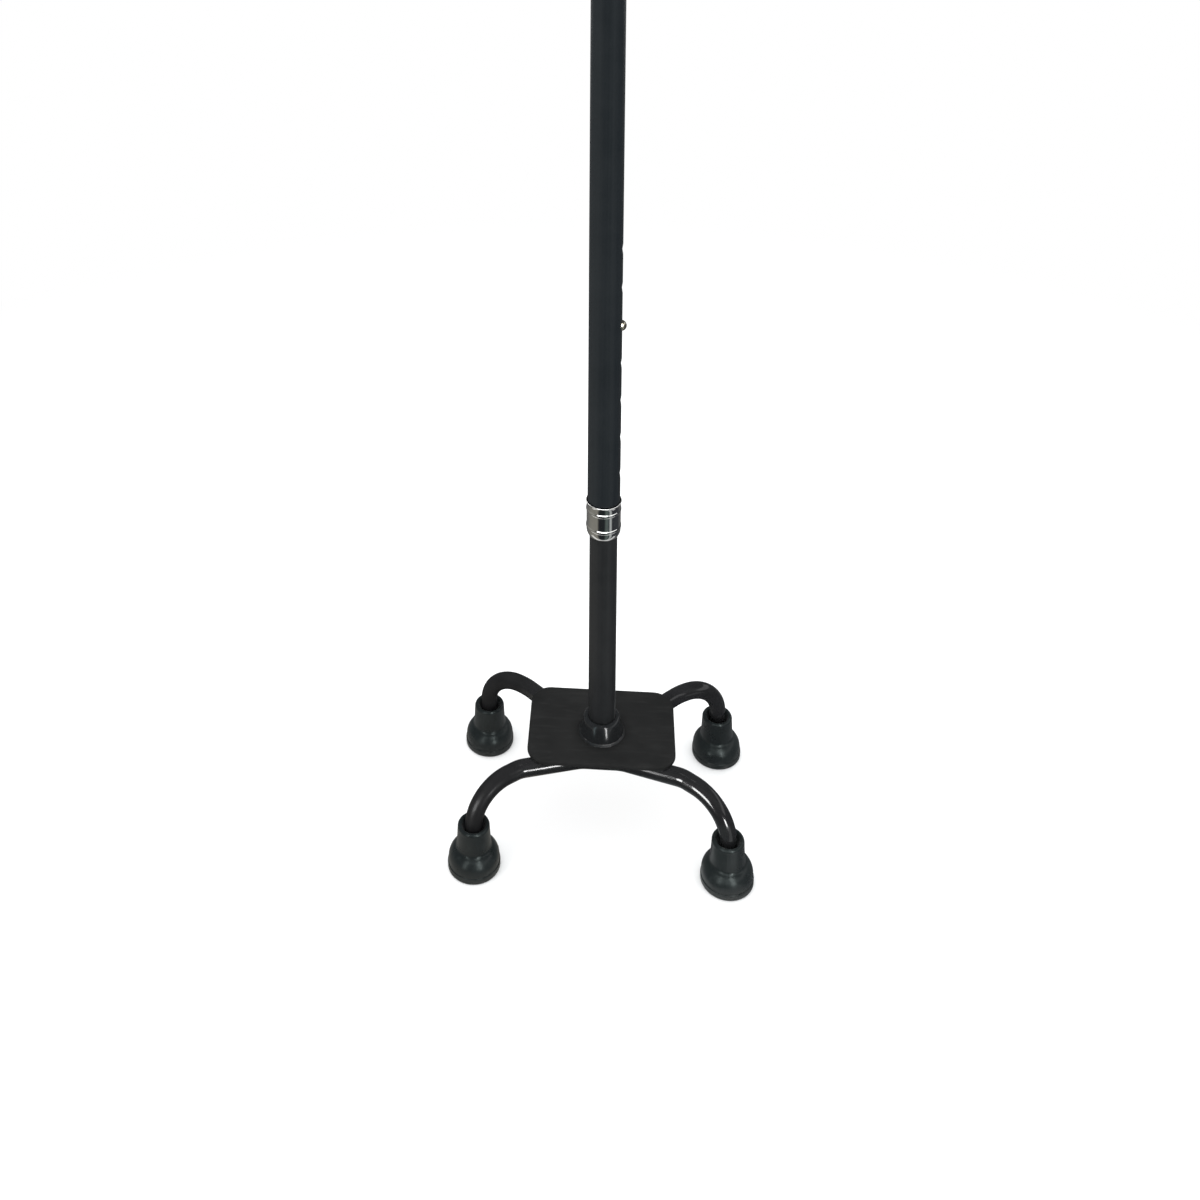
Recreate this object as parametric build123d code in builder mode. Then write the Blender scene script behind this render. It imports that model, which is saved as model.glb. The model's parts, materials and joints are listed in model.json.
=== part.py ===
from build123d import *
import os
from math import atan2, cos, hypot, sin

os.makedirs("parts", exist_ok=True)

# Quad walking cane: four rubber tipped feet on two bent leg tubes, a pressed
# steel plate, and a telescoping two-tube shaft held by a snap button and a
# lock collar, with an offset handle on top.
# Origin: on the floor, at the centre of the four feet. The shaft stands a
# little in front of it. +Z up, +X along the long side of the base and along
# the free end of the handle, +Y towards the rear feet. Millimetres.

# ------------------------------------------------------- shared dimensions ---
# shaft tubes
shaft_y = -4.5             # the shaft stands this far in front of the base's centre
upper_od = 22.2            # 7/8 inch outer tube
upper_id = 19.4
upper_r = upper_od / 2
upper_bore_r = upper_id / 2
lower_od = 19.05           # 3/4 inch inner tube
lower_id = 16.25
lower_r = lower_od / 2
lower_bore_r = lower_id / 2
lower_top = 402.0
upper_z0 = 238.0           # lower end of the upper tube, inside the collar

# snap button and the holes it fits
hole_r = 3.5
button_z = 379.2           # centre of the snap button

# base
plate_z = 64.0             # underside of the plate
plate_t = 3.0
lower_z0 = plate_z + plate_t   # the lower tube stands on the plate
leg_od, leg_wall = 12.0, 1.5
leg_r = leg_od / 2
leg_z = plate_z - leg_r    # leg centre line under the plate
foot_x = 86.0
rear_y = 56.6
front_y = -rear_y
tip_floor = 6.0            # rubber under the washer and the tube end
washer_t = 1.5             # disc between the tube end and the rubber
lock_washer_t = 1.8

# handle
grip_z = 817.0             # centre line of the handle bar
handle_end = 86.0          # free end of the bar

# the shaft's own axis and planes
shaft_axis = Axis((0, shaft_y, 0), (0, 0, 1))
shaft_side = Plane(origin=(0, shaft_y, 0), x_dir=(1, 0, 0), z_dir=(0, -1, 0))
shaft_cross = Plane(origin=(0, shaft_y, 0), x_dir=(0, 1, 0), z_dir=(1, 0, 0))
shaft_level = Plane(origin=(0, shaft_y, 0), x_dir=(1, 0, 0), z_dir=(0, 0, 1))


def level_axis(z):
    """Axis along +X that crosses the shaft axis at height z."""
    return Axis((0, shaft_y, z), (1, 0, 0))


def save(builder, name):
    """Label a finished piece and write its STEP file."""
    builder.part.label = name
    export_step(builder.part, f"parts/{name}.step")


def cap_middle(base_x, base_r, apex_x):
    """Middle point of a cap arc whose centre lies on the axis of revolution."""
    rise = apex_x - base_x
    radius = (base_r**2 + rise**2) / (2 * rise)
    half = atan2(base_r, radius - rise) / 2
    return apex_x - radius + radius * cos(half), radius * sin(half)


# -------------------------------------------------------------- base plate ---
# pressed plate with rolled edges and one clearance hole for the shaft bolt
plate_x, plate_y = 103.0, 73.0
plate_corner = 14.5
bolt_hole_r = 4.5

with BuildPart() as base_plate:
    with BuildSketch(Plane.XY.offset(plate_z)):
        RectangleRounded(plate_x, plate_y, plate_corner)
        with Locations((0, shaft_y)):
            Circle(bolt_hole_r, mode=Mode.SUBTRACT)
    extrude(amount=plate_t)
    fillet(base_plate.faces().sort_by(Axis.Z)[-1].outer_wire().edges(), 1.4)
    fillet(base_plate.faces().sort_by(Axis.Z)[0].outer_wire().edges(), 0.8)
save(base_plate, "base_plate")

# ------------------------------------------------------------- base socket ---
# slightly tapered ring welded on the plate, which takes the foot of the lower tube
socket_r = 15.5            # at the foot
socket_top_r = 13.2        # where the rounded top starts
socket_h = 13.0
socket_round = 2.4         # height of the rounded top
socket_top = lower_z0 + socket_h
round_start = (socket_top_r, socket_top - socket_round)
round_end = (10.53, socket_top - 0.05)

with BuildPart() as base_socket:
    with BuildSketch(shaft_side):
        with BuildLine():
            Polyline((lower_r, lower_z0), (socket_r, lower_z0), round_start)
            ThreePointArc(round_start, (12.252, socket_top - 0.785), round_end)
            Polyline(
                round_end,
                (lower_r + 0.5, socket_top),
                (lower_r, socket_top - 0.5),
                (lower_r, lower_z0),
            )
        make_face()
    revolve(axis=shaft_axis)
save(base_socket, "base_socket")

# weld bead round the foot of the socket
weld_h = 1.3
socket_slope = (socket_r - socket_top_r) / (socket_h - socket_round)
weld_top = (socket_r - socket_slope * weld_h, lower_z0 + weld_h)
weld_toe = (socket_r + 0.82, lower_z0 + 0.32)

with BuildPart() as socket_weld:
    with BuildSketch(shaft_side):
        with BuildLine():
            Polyline((socket_r, lower_z0), (socket_r + 0.9, lower_z0), weld_toe)
            ThreePointArc(weld_toe, (socket_r + 0.32, lower_z0 + 0.68), weld_top)
            Line(weld_top, (socket_r, lower_z0))
        make_face()
    revolve(axis=shaft_axis)
save(socket_weld, "socket_weld")

# --------------------------------------------------------------- leg tubes ---
# Each tube runs under the plate and turns down into two feet. The tables give
# the corners of the centre line (x, y, z) from the left foot to the middle.
rear_rise = 4.0            # the rear leg tube climbs a little outside the plate
tube_end_z = tip_floor + washer_t
front_half = [
    (-foot_x, front_y, tube_end_z),
    (-foot_x, front_y, leg_z),
    (-56.0, -34.2, leg_z),
    (-14.0, -22.2, leg_z),
]
rear_half = [
    (-foot_x, rear_y, tube_end_z),
    (-foot_x, rear_y, leg_z + rear_rise),
    (-57.0, 46.0, leg_z),
    (-24.0, 16.5, leg_z),
]
front_bends = [27.5, 18.0, 27.0]   # bend radii, from the left foot to the middle
rear_bends = [22.0, 27.0, 27.0]


def both_halves(left_half):
    """Centre line corners from the left foot to the right foot."""
    return left_half + [(-x, y, z) for x, y, z in reversed(left_half)]


def build_leg_tube(name, corners, bends):
    with BuildPart() as leg_tube:
        with BuildLine() as path:
            FilletPolyline(*corners, radius=bends + bends[::-1])
        with BuildSketch(Plane(origin=corners[0], z_dir=(0, 0, 1))):
            Circle(leg_r)
            Circle(leg_r - leg_wall, mode=Mode.SUBTRACT)
        sweep(path=path.wire())
    save(leg_tube, name)


front_corners = both_halves(front_half)
rear_corners = both_halves(rear_half)
build_leg_tube("front_leg_tube", front_corners, front_bends)
build_leg_tube("rear_leg_tube", rear_corners, rear_bends)


# --------------------------------------------------------------- leg welds ---
def bead_plane(start, end, along):
    """Plane across a leg tube, on its centre line, `along` mm from start."""
    dx, dy = end[0] - start[0], end[1] - start[1]
    length = hypot(dx, dy)
    dx, dy = dx / length, dy / length
    return Plane(
        origin=(start[0] + dx * along, start[1] + dy * along, leg_z),
        x_dir=(-dy, dx, 0),
        z_dir=(dx, dy, 0),
    )


# right-hand beads: corners of the leg's path, distance from the inner corner
# of the straight run to the bead, bead length
weld_runs = (
    (front_corners, 12.0, 19.0),
    (rear_corners, 11.5, 14.0),
)
# bead section: distance sideways from the leg's centre line, height above it
bead_section = [(2.2, leg_r), (5.6, leg_r), (4.95, 4.3), (4.7, 3.0), (2.2, 3.0)]

# weld beads in the corners between the leg tubes and the plate's underside
with BuildPart() as leg_welds:
    for corners, along, bead_length in weld_runs:
        with BuildSketch(bead_plane(corners[4], corners[5], along)):
            for side in (-1, 1):
                with BuildLine():
                    Polyline(*[(side * x, y) for x, y in bead_section], close=True)
                make_face()
            Circle(leg_r, mode=Mode.SUBTRACT)
        extrude(amount=bead_length)
    mirror(about=Plane.YZ)
save(leg_welds, "leg_welds")

# --------------------------------------------- bolt, lock washer and insert ---
washer_z0 = plate_z - lock_washer_t
washer_r, washer_bore_r = 7.4, 4.1

# lock washer, cut by a slanted slit
with BuildPart() as lock_washer:
    with BuildSketch(shaft_level.offset(washer_z0)):
        Circle(washer_r)
        Circle(washer_bore_r, mode=Mode.SUBTRACT)
        with BuildLine():
            Polyline((0.6, 3.0), (1.6, 3.0), (2.4, 8.2), (1.4, 8.2), close=True)
        make_face(mode=Mode.SUBTRACT)
    extrude(amount=lock_washer_t)
save(lock_washer, "lock_washer")

# hexagon bolt from below
bolt_head_h = 5.3
bolt_head_flats = 13.0     # across flats
bolt_r = 3.98
bolt_length = 22.0

with BuildPart() as base_bolt:
    with BuildSketch(shaft_level.offset(washer_z0 - bolt_head_h)):
        RegularPolygon(bolt_head_flats / 2, 6, major_radius=False)
    extrude(amount=bolt_head_h)
    chamfer(base_bolt.faces().sort_by(Axis.Z)[0].edges(), 0.5)
    with BuildSketch(shaft_level.offset(washer_z0)):
        Circle(bolt_r)
    extrude(amount=bolt_length)
    chamfer(base_bolt.faces().sort_by(Axis.Z)[-1].edges(), 0.8)
save(base_bolt, "base_bolt")

# threaded insert in the foot of the lower tube, which the bolt pulls on
insert_h = 20.0
insert_bore_r = 4.0

with BuildPart() as threaded_insert:
    with BuildSketch(shaft_level.offset(lower_z0)):
        Circle(lower_bore_r)
        Circle(insert_bore_r, mode=Mode.SUBTRACT)
    extrude(amount=insert_h)
    top_edges = threaded_insert.faces().sort_by(Axis.Z)[-1].edges()
    chamfer(top_edges.sort_by(SortBy.RADIUS)[-1], 0.8)
save(threaded_insert, "threaded_insert")

# ------------------------------------------------------------- rubber tips ---
# One tip is a turned shape: ring at the floor, rounded shoulder, a neck with
# a flared mouth round the leg, a blind bore, and ring grooves in the sole.
tip_r = 18.0
tip_h = 33.0
groove_h = 1.6
tip_places = {
    "front_left_tip": (-foot_x, front_y),
    "front_right_tip": (foot_x, front_y),
    "rear_left_tip": (-foot_x, rear_y),
    "rear_right_tip": (foot_x, rear_y),
}
# outlines: radius, height
sole = [
    (0, 0), (5.0, 0),
    (5.4, groove_h), (7.0, groove_h), (7.4, 0), (10.4, 0),
    (10.8, groove_h), (12.6, groove_h), (13.0, 0), (tip_r - 0.8, 0),
]
floor_ring = [
    (tip_r, 0.8), (tip_r, 4.2), (tip_r - 0.45, 4.7), (tip_r - 0.5, 7.4),
]
bore = [(7.9, 31.0), (leg_r, 24.5), (leg_r, tip_floor), (0, tip_floor), (0, 0)]

with BuildSketch(Plane.XY) as tip_profile:
    with BuildLine():
        Polyline(*sole, *floor_ring)
        ThreePointArc(floor_ring[-1], (16.05, 12.1), (12.8, 15.2))
        ThreePointArc((12.8, 15.2), (12.05, 16.1), (11.75, 17.4))
        Line((11.75, 17.4), (11.0, 30.6))
        ThreePointArc((11.0, 30.6), (10.65, 32.2), (9.6, tip_h))
        ThreePointArc((9.6, tip_h), (8.5, 32.5), bore[0])
        Polyline(*bore)
    make_face()

for tip_name, (x, y) in tip_places.items():
    with BuildPart() as tip:
        with BuildSketch(Plane(origin=(x, y, 0), x_dir=(1, 0, 0), z_dir=(0, -1, 0))):
            add(tip_profile.sketch)
        revolve(axis=Axis((x, y, 0), (0, 0, 1)))
    save(tip, tip_name)

# steel discs that keep the tube ends from cutting through the rubber
with BuildPart() as tip_washers:
    with BuildSketch(Plane.XY.offset(tip_floor)):
        with Locations(*tip_places.values()):
            Circle(leg_r - 0.1)
    extrude(amount=washer_t)
save(tip_washers, "tip_washers")

# -------------------------------------------------- lower tube, guide bush ---
# inner tube with one hole for the button, on the +X side
with BuildPart() as lower_tube:
    with BuildSketch(shaft_level.offset(lower_z0)):
        Circle(lower_r)
        Circle(lower_bore_r, mode=Mode.SUBTRACT)
    extrude(amount=lower_top - lower_z0)
    with BuildSketch(shaft_cross):
        with Locations((0, button_z)):
            Circle(hole_r)
    extrude(amount=lower_od, mode=Mode.SUBTRACT)
save(lower_tube, "lower_tube")

# nylon bush in the top of the lower tube: it steadies the upper tube
bush_bore_r = 5.0
bush_z0 = lower_top - 12.0
bush_z1 = lower_top + 4.4
bush_head_r = upper_bore_r - 0.05

with BuildPart() as guide_bush:
    with BuildSketch(shaft_side):
        with BuildLine():
            Polyline(
                (bush_bore_r, bush_z0),
                (lower_bore_r - 0.4, bush_z0),
                (lower_bore_r, bush_z0 + 1.0),
                (lower_bore_r, lower_top),
                (bush_head_r, lower_top),
                (bush_head_r, bush_z1 - 1.0),
                (upper_bore_r - 0.9, bush_z1),
                (bush_bore_r, bush_z1),
                close=True,
            )
        make_face()
    revolve(axis=shaft_axis)
save(guide_bush, "guide_bush")

# ----------------------------------------------------- snap button, spring ---
# domed button with a flange that stays behind the wall of the lower tube
button_r = hole_r - 0.05
flange_r = 4.4
flange_x0, flange_x1 = 5.6, 6.6
dome_x0 = 11.5             # start of the dome, from the shaft axis
button_tip = 14.0          # top of the dome, from the shaft axis

with BuildPart() as snap_button:
    with BuildSketch(shaft_side):
        with BuildLine():
            Polyline(
                (flange_x0, button_z),
                (flange_x0, button_z + flange_r),
                (flange_x1, button_z + flange_r),
                (flange_x1, button_z + button_r),
                (dome_x0, button_z + button_r),
            )
            mid_x, mid_r = cap_middle(dome_x0, button_r, button_tip)
            ThreePointArc(
                (dome_x0, button_z + button_r), (mid_x, button_z + mid_r), (button_tip, button_z)
            )
            Line((button_tip, button_z), (flange_x0, button_z))
        make_face()
    revolve(axis=level_axis(button_z))
save(snap_button, "snap_button")

# leaf spring bent to a V: one arm lies on the tube wall, one backs the button
spring_t = 0.5
spring_width = 6.8
button_arm_x = 5.3
wall_arm_x = -6.9
spring_z0 = button_z - 44.0

with BuildPart() as snap_spring:
    with BuildSketch(shaft_side):
        with BuildLine() as spring_line:
            FilletPolyline(
                (button_arm_x, button_z + 6.5),
                (button_arm_x, button_z - 8.0),
                (-2.6, spring_z0),
                (wall_arm_x, spring_z0),
                (wall_arm_x, button_z + 9.0),
                radius=[6.0, 1.6, 1.6],
            )
        trace(spring_line.wire(), line_width=spring_t)
    extrude(amount=spring_width / 2, both=True)
save(snap_spring, "snap_spring")

# -------------------------------------------------------------- upper tube ---
# straight shaft with the row of holes, then the swan neck and the handle bar
shaft_top = 652.0          # corner where the neck leaves the shaft
neck_x = -55.0
neck_rise = 85.0
neck_bends = [48.0, 48.0, 34.0]
hole_pitch = 27.0          # height steps
steps_up = 4               # holes below the button, so steps the cane can grow
steps_down = 2             # holes above the button

with BuildPart() as upper_tube:
    with BuildLine() as upper_path:
        FilletPolyline(
            (0, shaft_y, upper_z0),
            (0, shaft_y, shaft_top),
            (neck_x, shaft_y, shaft_top + neck_rise),
            (neck_x, shaft_y, grip_z),
            (handle_end, shaft_y, grip_z),
            radius=neck_bends,
        )
    with BuildSketch(shaft_level.offset(upper_z0)):
        Circle(upper_r)
        Circle(upper_bore_r, mode=Mode.SUBTRACT)
    sweep(path=upper_path.wire())
    with BuildSketch(shaft_cross):
        hole_steps = range(-steps_up, steps_down + 1)
        with Locations(*[(0, button_z + hole_pitch * step) for step in hole_steps]):
            Circle(hole_r)
    extrude(amount=upper_od, mode=Mode.SUBTRACT)
save(upper_tube, "upper_tube")

# ----------------------------------------------------- collet, lock collar ---
# split nylon collet that the collar presses on the lower tube
collet_bore_r = lower_r + 0.05
collet_z0 = 230.6
taper_z1 = 235.6           # upper end of the taper on the collet and in the collar
collet_r = 11.0
slit_width = 1.4

with BuildPart() as collet_bush:
    with BuildSketch(shaft_side):
        with BuildLine():
            Polyline(
                (collet_bore_r, collet_z0),
                (10.3, collet_z0),
                (collet_r, taper_z1),
                (collet_r, upper_z0),
                (collet_bore_r, upper_z0),
                close=True,
            )
        make_face()
    revolve(axis=shaft_axis)
    with BuildSketch(shaft_level.offset(collet_z0 - 0.6)):
        with Locations((-10.5, 0)):
            Rectangle(5.0, slit_width)
    extrude(amount=9.0, mode=Mode.SUBTRACT)
save(collet_bush, "collet_bush")

# lock collar: a ring nut with two raised beads, open flared rim and a taper
collar_z0 = 225.2
collar_z1 = 250.7
collar_r = 11.7
collar_bead_r = 12.05
bead_zs = (232.0, 244.4)
bead_half_h = 1.2
foot_bore_r = 9.8
foot_round_z1 = collar_z0 + 4.4
rim_z0 = collar_z1 - 2.5   # start of the flare
rim_side = (collar_r + 0.45, collar_z1 - 0.45)
rim_top = (collar_r + 0.18, collar_z1)
# inside of the collar from the rim down: radius, height
collar_inside = [
    (collar_r - 0.02, collar_z1 - 0.4), (11.42, collar_z1 - 2.0),
    (11.38, 245.2), (11.15, 244.7),
    (11.15, taper_z1), (10.42, 230.4),
    (foot_bore_r, 230.4), (foot_bore_r, collar_z0 + 0.5),
]

with BuildPart() as lock_collar:
    with BuildSketch(shaft_side):
        with BuildLine():
            Polyline((foot_bore_r, collar_z0 + 0.5), (9.95, collar_z0), (10.3, collar_z0))
            ThreePointArc((10.3, collar_z0), (11.28, collar_z0 + 1.9), (collar_r, foot_round_z1))
            wall_z = foot_round_z1
            for bead_z in bead_zs:
                bead_start = (collar_r, bead_z - bead_half_h)
                bead_end = (collar_r, bead_z + bead_half_h)
                Line((collar_r, wall_z), bead_start)
                ThreePointArc(bead_start, (collar_bead_r, bead_z), bead_end)
                wall_z = bead_z + bead_half_h
            Line((collar_r, wall_z), (collar_r, rim_z0))
            ThreePointArc((collar_r, rim_z0), (collar_r + 0.12, collar_z1 - 1.4), rim_side)
            ThreePointArc(rim_side, (collar_r + 0.42, collar_z1 - 0.11), rim_top)
            Polyline(rim_top, *collar_inside)
        make_face()
    revolve(axis=shaft_axis)
save(lock_collar, "lock_collar")

# ------------------------------------------------------------------ handle ---
# foam sleeve with a slight belly, pushed on the handle bar
grip_x0 = -20.0
grip_face_z = grip_z + 14.0    # outer edge of the flat end faces
grip_round_z = grip_z + 15.0   # middle of the rounded corners
# upper outline: x, height
grip_belly = [
    (grip_x0 + 2.0, grip_z + 15.4),
    (grip_x0 + 26.0, grip_z + 15.7),
    (grip_x0 + 54.0, grip_z + 16.2),
    (grip_x0 + 82.0, grip_z + 15.7),
    (handle_end - 2.0, grip_z + 15.4),
]

with BuildPart() as handle_grip:
    with BuildSketch(shaft_side):
        with BuildLine():
            Line((grip_x0, grip_z + upper_r), (grip_x0, grip_face_z))
            ThreePointArc((grip_x0, grip_face_z), (grip_x0 + 0.6, grip_round_z), grip_belly[0])
            Spline(*grip_belly)
            ThreePointArc(
                grip_belly[-1], (handle_end - 0.6, grip_round_z), (handle_end, grip_face_z)
            )
            Polyline(
                (handle_end, grip_face_z),
                (handle_end, grip_z + upper_r),
                (grip_x0, grip_z + upper_r),
            )
        make_face()
    revolve(axis=level_axis(grip_z))
save(handle_grip, "handle_grip")

# moulded plug that closes the free end of the handle bar
plug_x0 = handle_end - 14.0
plug_r = 13.2
cap_x0 = handle_end + 3.8      # where the shallow end cap starts
cap_r = 9.2
plug_tip = handle_end + 4.9

with BuildPart() as handle_end_plug:
    with BuildSketch(shaft_side):
        with BuildLine():
            Polyline(
                (plug_x0, grip_z),
                (plug_x0, grip_z + upper_bore_r - 0.6),
                (plug_x0 + 0.8, grip_z + upper_bore_r),
                (handle_end, grip_z + upper_bore_r),
                (handle_end, grip_z + plug_r),
            )
            ThreePointArc(
                (handle_end, grip_z + plug_r),
                (handle_end + 2.6, grip_z + 12.0),
                (cap_x0, grip_z + cap_r),
            )
            mid_x, mid_r = cap_middle(cap_x0, cap_r, plug_tip)
            ThreePointArc((cap_x0, grip_z + cap_r), (mid_x, grip_z + mid_r), (plug_tip, grip_z))
            Line((plug_tip, grip_z), (plug_x0, grip_z))
        make_face()
    revolve(axis=level_axis(grip_z))
save(handle_end_plug, "handle_end_plug")
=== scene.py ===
import bpy, json, math
import numpy as np
from mathutils import Matrix, Vector, noise

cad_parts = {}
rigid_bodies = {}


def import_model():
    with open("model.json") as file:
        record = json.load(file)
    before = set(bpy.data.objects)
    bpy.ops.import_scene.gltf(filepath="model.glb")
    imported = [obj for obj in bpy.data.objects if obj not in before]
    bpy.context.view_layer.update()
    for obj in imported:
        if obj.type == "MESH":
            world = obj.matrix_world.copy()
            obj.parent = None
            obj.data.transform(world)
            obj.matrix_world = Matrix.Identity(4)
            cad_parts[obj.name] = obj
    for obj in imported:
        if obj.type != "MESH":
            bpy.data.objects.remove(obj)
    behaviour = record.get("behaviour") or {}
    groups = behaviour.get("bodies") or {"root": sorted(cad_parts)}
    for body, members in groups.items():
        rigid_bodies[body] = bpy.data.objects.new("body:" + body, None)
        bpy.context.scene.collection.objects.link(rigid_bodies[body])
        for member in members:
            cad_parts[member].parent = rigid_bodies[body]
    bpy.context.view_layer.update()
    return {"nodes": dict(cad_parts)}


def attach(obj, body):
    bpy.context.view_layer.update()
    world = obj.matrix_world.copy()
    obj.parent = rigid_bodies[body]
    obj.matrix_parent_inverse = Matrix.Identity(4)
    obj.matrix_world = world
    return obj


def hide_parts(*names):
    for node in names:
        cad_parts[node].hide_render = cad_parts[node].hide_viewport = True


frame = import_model()
NODES = frame["nodes"]
MM = 0.001

# ---------------------------------------------------------------- dimensions
# millimetres, the same numbers as the CAD model
UP_RO, UP_RI = 11.1, 9.7
LOW_RO, LOW_RI = 9.525, 8.125
BTN_Z = 379.2
PITCH = 27.0
HOLES = [BTN_Z + PITCH * k for k in range(-4, 3)]
HOLE_R = 3.5
UP_Z0 = 238.0
LOW_TOP = 402.0
PLATE_Z0, PLATE_Z1 = 64.0, 67.0
LEG_R = 6.0
LEG_Z = PLATE_Z0 - LEG_R
FOOT_X, FRONT_Y, REAR_Y = 86.0, -56.6, 56.6
SHAFT = (0.0, -4.5, 0.0)          # the shaft's axis; the origin is at the centre of the feet
TIPS = {"front_left_tip": (-FOOT_X, FRONT_Y), "front_right_tip": (FOOT_X, FRONT_Y),
        "rear_left_tip": (-FOOT_X, REAR_Y), "rear_right_tip": (FOOT_X, REAR_Y)}
GRIP_Z, GRIP_X0, HANDLE_END, NECK_X = 817.0, -20.0, 86.0, -55.0


# ------------------------------------------------------------- mesh helpers
def make(name, verts, faces, body, replaces=(), mats=(), face_mat=None, angle=32.0, at=(0.0, 0.0, 0.0)):
    me = bpy.data.meshes.new(name)
    me.from_pydata([tuple((float(c) + o) * MM for c, o in zip(v, at)) for v in verts], [], [tuple(int(i) for i in f) for f in faces])
    me.validate(clean_customdata=False)
    for m in mats:
        me.materials.append(m)
    if face_mat is not None and len(me.polygons) == len(face_mat):
        me.polygons.foreach_set("material_index", face_mat)
    me.shade_smooth()
    me.set_sharp_from_angle(angle=math.radians(angle))
    me.update()
    ob = bpy.data.objects.new(name, me)
    bpy.context.scene.collection.objects.link(ob)
    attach(ob, body)
    if replaces:
        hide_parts(*replaces)
    return ob


def arc_pts(p0, pm, p1, n):
    """n+1 points on the arc through three 2-D points."""
    (ax, ay), (bx, by), (cx, cy) = p0, pm, p1
    d = 2 * (ax * (by - cy) + bx * (cy - ay) + cx * (ay - by))
    ux = ((ax * ax + ay * ay) * (by - cy) + (bx * bx + by * by) * (cy - ay) + (cx * cx + cy * cy) * (ay - by)) / d
    uy = ((ax * ax + ay * ay) * (cx - bx) + (bx * bx + by * by) * (ax - cx) + (cx * cx + cy * cy) * (bx - ax)) / d
    r = math.hypot(ax - ux, ay - uy)
    a0, am, a1 = (math.atan2(y - uy, x - ux) for x, y in (p0, pm, p1))
    for s in (-1, 1):
        am2 = a0 + ((am - a0) * s % (2 * math.pi)) * s
        a12 = a0 + ((a1 - a0) * s % (2 * math.pi)) * s
        if (am2 - a0) * s < (a12 - a0) * s:
            return [(ux + r * math.cos(a0 + (a12 - a0) * i / n), uy + r * math.sin(a0 + (a12 - a0) * i / n)) for i in range(n + 1)]
    return [p0, pm, p1]


def round_corners(pts, radii, n=5, closed=True):
    """Rounds each corner of a 2-D outline by its radius (0 keeps it sharp)."""
    out, m = [], len(pts)
    for i, (p, r) in enumerate(zip(pts, radii)):
        a, b = np.array(pts[i - 1]), np.array(pts[(i + 1) % m])
        p = np.array(p, float)
        if r <= 0 or (not closed and i in (0, m - 1)):
            out.append(tuple(p)); continue
        u, v = a - p, b - p
        lu, lv = np.linalg.norm(u), np.linalg.norm(v)
        u, v = u / lu, v / lv
        half = math.acos(max(-1, min(1, float(u @ v)))) / 2
        if half > math.pi / 2 - 0.02:
            out.append(tuple(p)); continue
        t = min(r / math.tan(half), 0.49 * lu, 0.49 * lv)
        rr = t * math.tan(half)
        c = p + (u + v) / np.linalg.norm(u + v) * rr / math.sin(half)
        s, e = p + u * t, p + v * t
        a0, a1 = math.atan2(*(s - c)[::-1]), math.atan2(*(e - c)[::-1])
        da = (a1 - a0 + math.pi) % (2 * math.pi) - math.pi
        for k in range(n + 1):
            q = a0 + da * k / n
            out.append((c[0] + rr * math.cos(q), c[1] + rr * math.sin(q)))
    return out


def lathe(profile, n, origin=(0, 0, 0), axis="z", bump=None, closed=True):
    """Revolves a (radius, height) outline. Points on the axis become one vertex. bump(theta, r, h) adds to r."""
    verts, rings = [], []
    for r, h in profile:
        if r < 1e-6:
            rings.append([len(verts)] * n)
            verts.append((0.0, 0.0, h))
        else:
            ring = []
            for j in range(n):
                t = 2 * math.pi * j / n
                rr = r + (bump(t, r, h) if bump else 0.0)
                ring.append(len(verts))
                verts.append((rr * math.cos(t), rr * math.sin(t), h))
            rings.append(ring)
    faces = []
    m = len(rings)
    for i in range(m if closed else m - 1):
        a, b = rings[i], rings[(i + 1) % m]
        if a[0] == a[1] and b[0] == b[1]:
            continue
        for j in range(n):
            k = (j + 1) % n
            if a[0] == a[1]:
                faces.append((a[0], b[k], b[j]))
            elif b[0] == b[1]:
                faces.append((a[j], a[k], b[0]))
            else:
                faces.append((a[j], a[k], b[k], b[j]))
    if axis == "x":
        verts = [(z, y, -x) for x, y, z in verts]
    verts = [(x + origin[0], y + origin[1], z + origin[2]) for x, y, z in verts]
    return verts, faces


def fillet_path(pts, radii, step=2.2, arc_deg=3.5):
    """Polyline with rounded corners as dense 3-D points, and a flag for the bend share at each."""
    pts = [np.array(p, float) for p in pts]
    segs = [pts[0]]
    out, bend = [], []

    def line(a, b):
        n = max(1, int(np.linalg.norm(b - a) / step))
        for i in range(n):
            out.append(a + (b - a) * i / n); bend.append(0.0)
    cur = pts[0]
    for i in range(1, len(pts) - 1):
        p, r = pts[i], radii[i - 1]
        u, v = cur - p, pts[i + 1] - p
        u, v = u / np.linalg.norm(u), v / np.linalg.norm(v)
        half = math.acos(max(-1, min(1, float(u @ v)))) / 2
        t = r / math.tan(half)
        s, e = p + u * t, p + v * t
        c = p + (u + v) / np.linalg.norm(u + v) * r / math.sin(half)
        line(cur, s)
        ang = math.pi - 2 * half
        ax = np.cross(s - c, e - c); ax /= np.linalg.norm(ax)
        n = max(3, int(math.degrees(ang) / arc_deg))
        for k in range(n):
            q = ang * k / n
            d = s - c
            out.append(c + d * math.cos(q) + np.cross(ax, d) * math.sin(q)); bend.append(math.sin(math.pi * k / n) ** 0.5)
        cur = e
    line(cur, pts[-1])
    out.append(pts[-1]); bend.append(0.0)
    return np.array(out), bend


def tube_rings(path, first_e1):
    """Parallel transport frames (centre, e1, e2) along a path."""
    n = len(path)
    tang = np.gradient(path, axis=0)
    tang /= np.linalg.norm(tang, axis=1)[:, None]
    e1 = np.array(first_e1, float)
    frames = []
    for i in range(n):
        e1 = e1 - tang[i] * (e1 @ tang[i])
        e1 /= np.linalg.norm(e1)
        frames.append((path[i], e1.copy(), np.cross(tang[i], e1)))
    return frames


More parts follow.
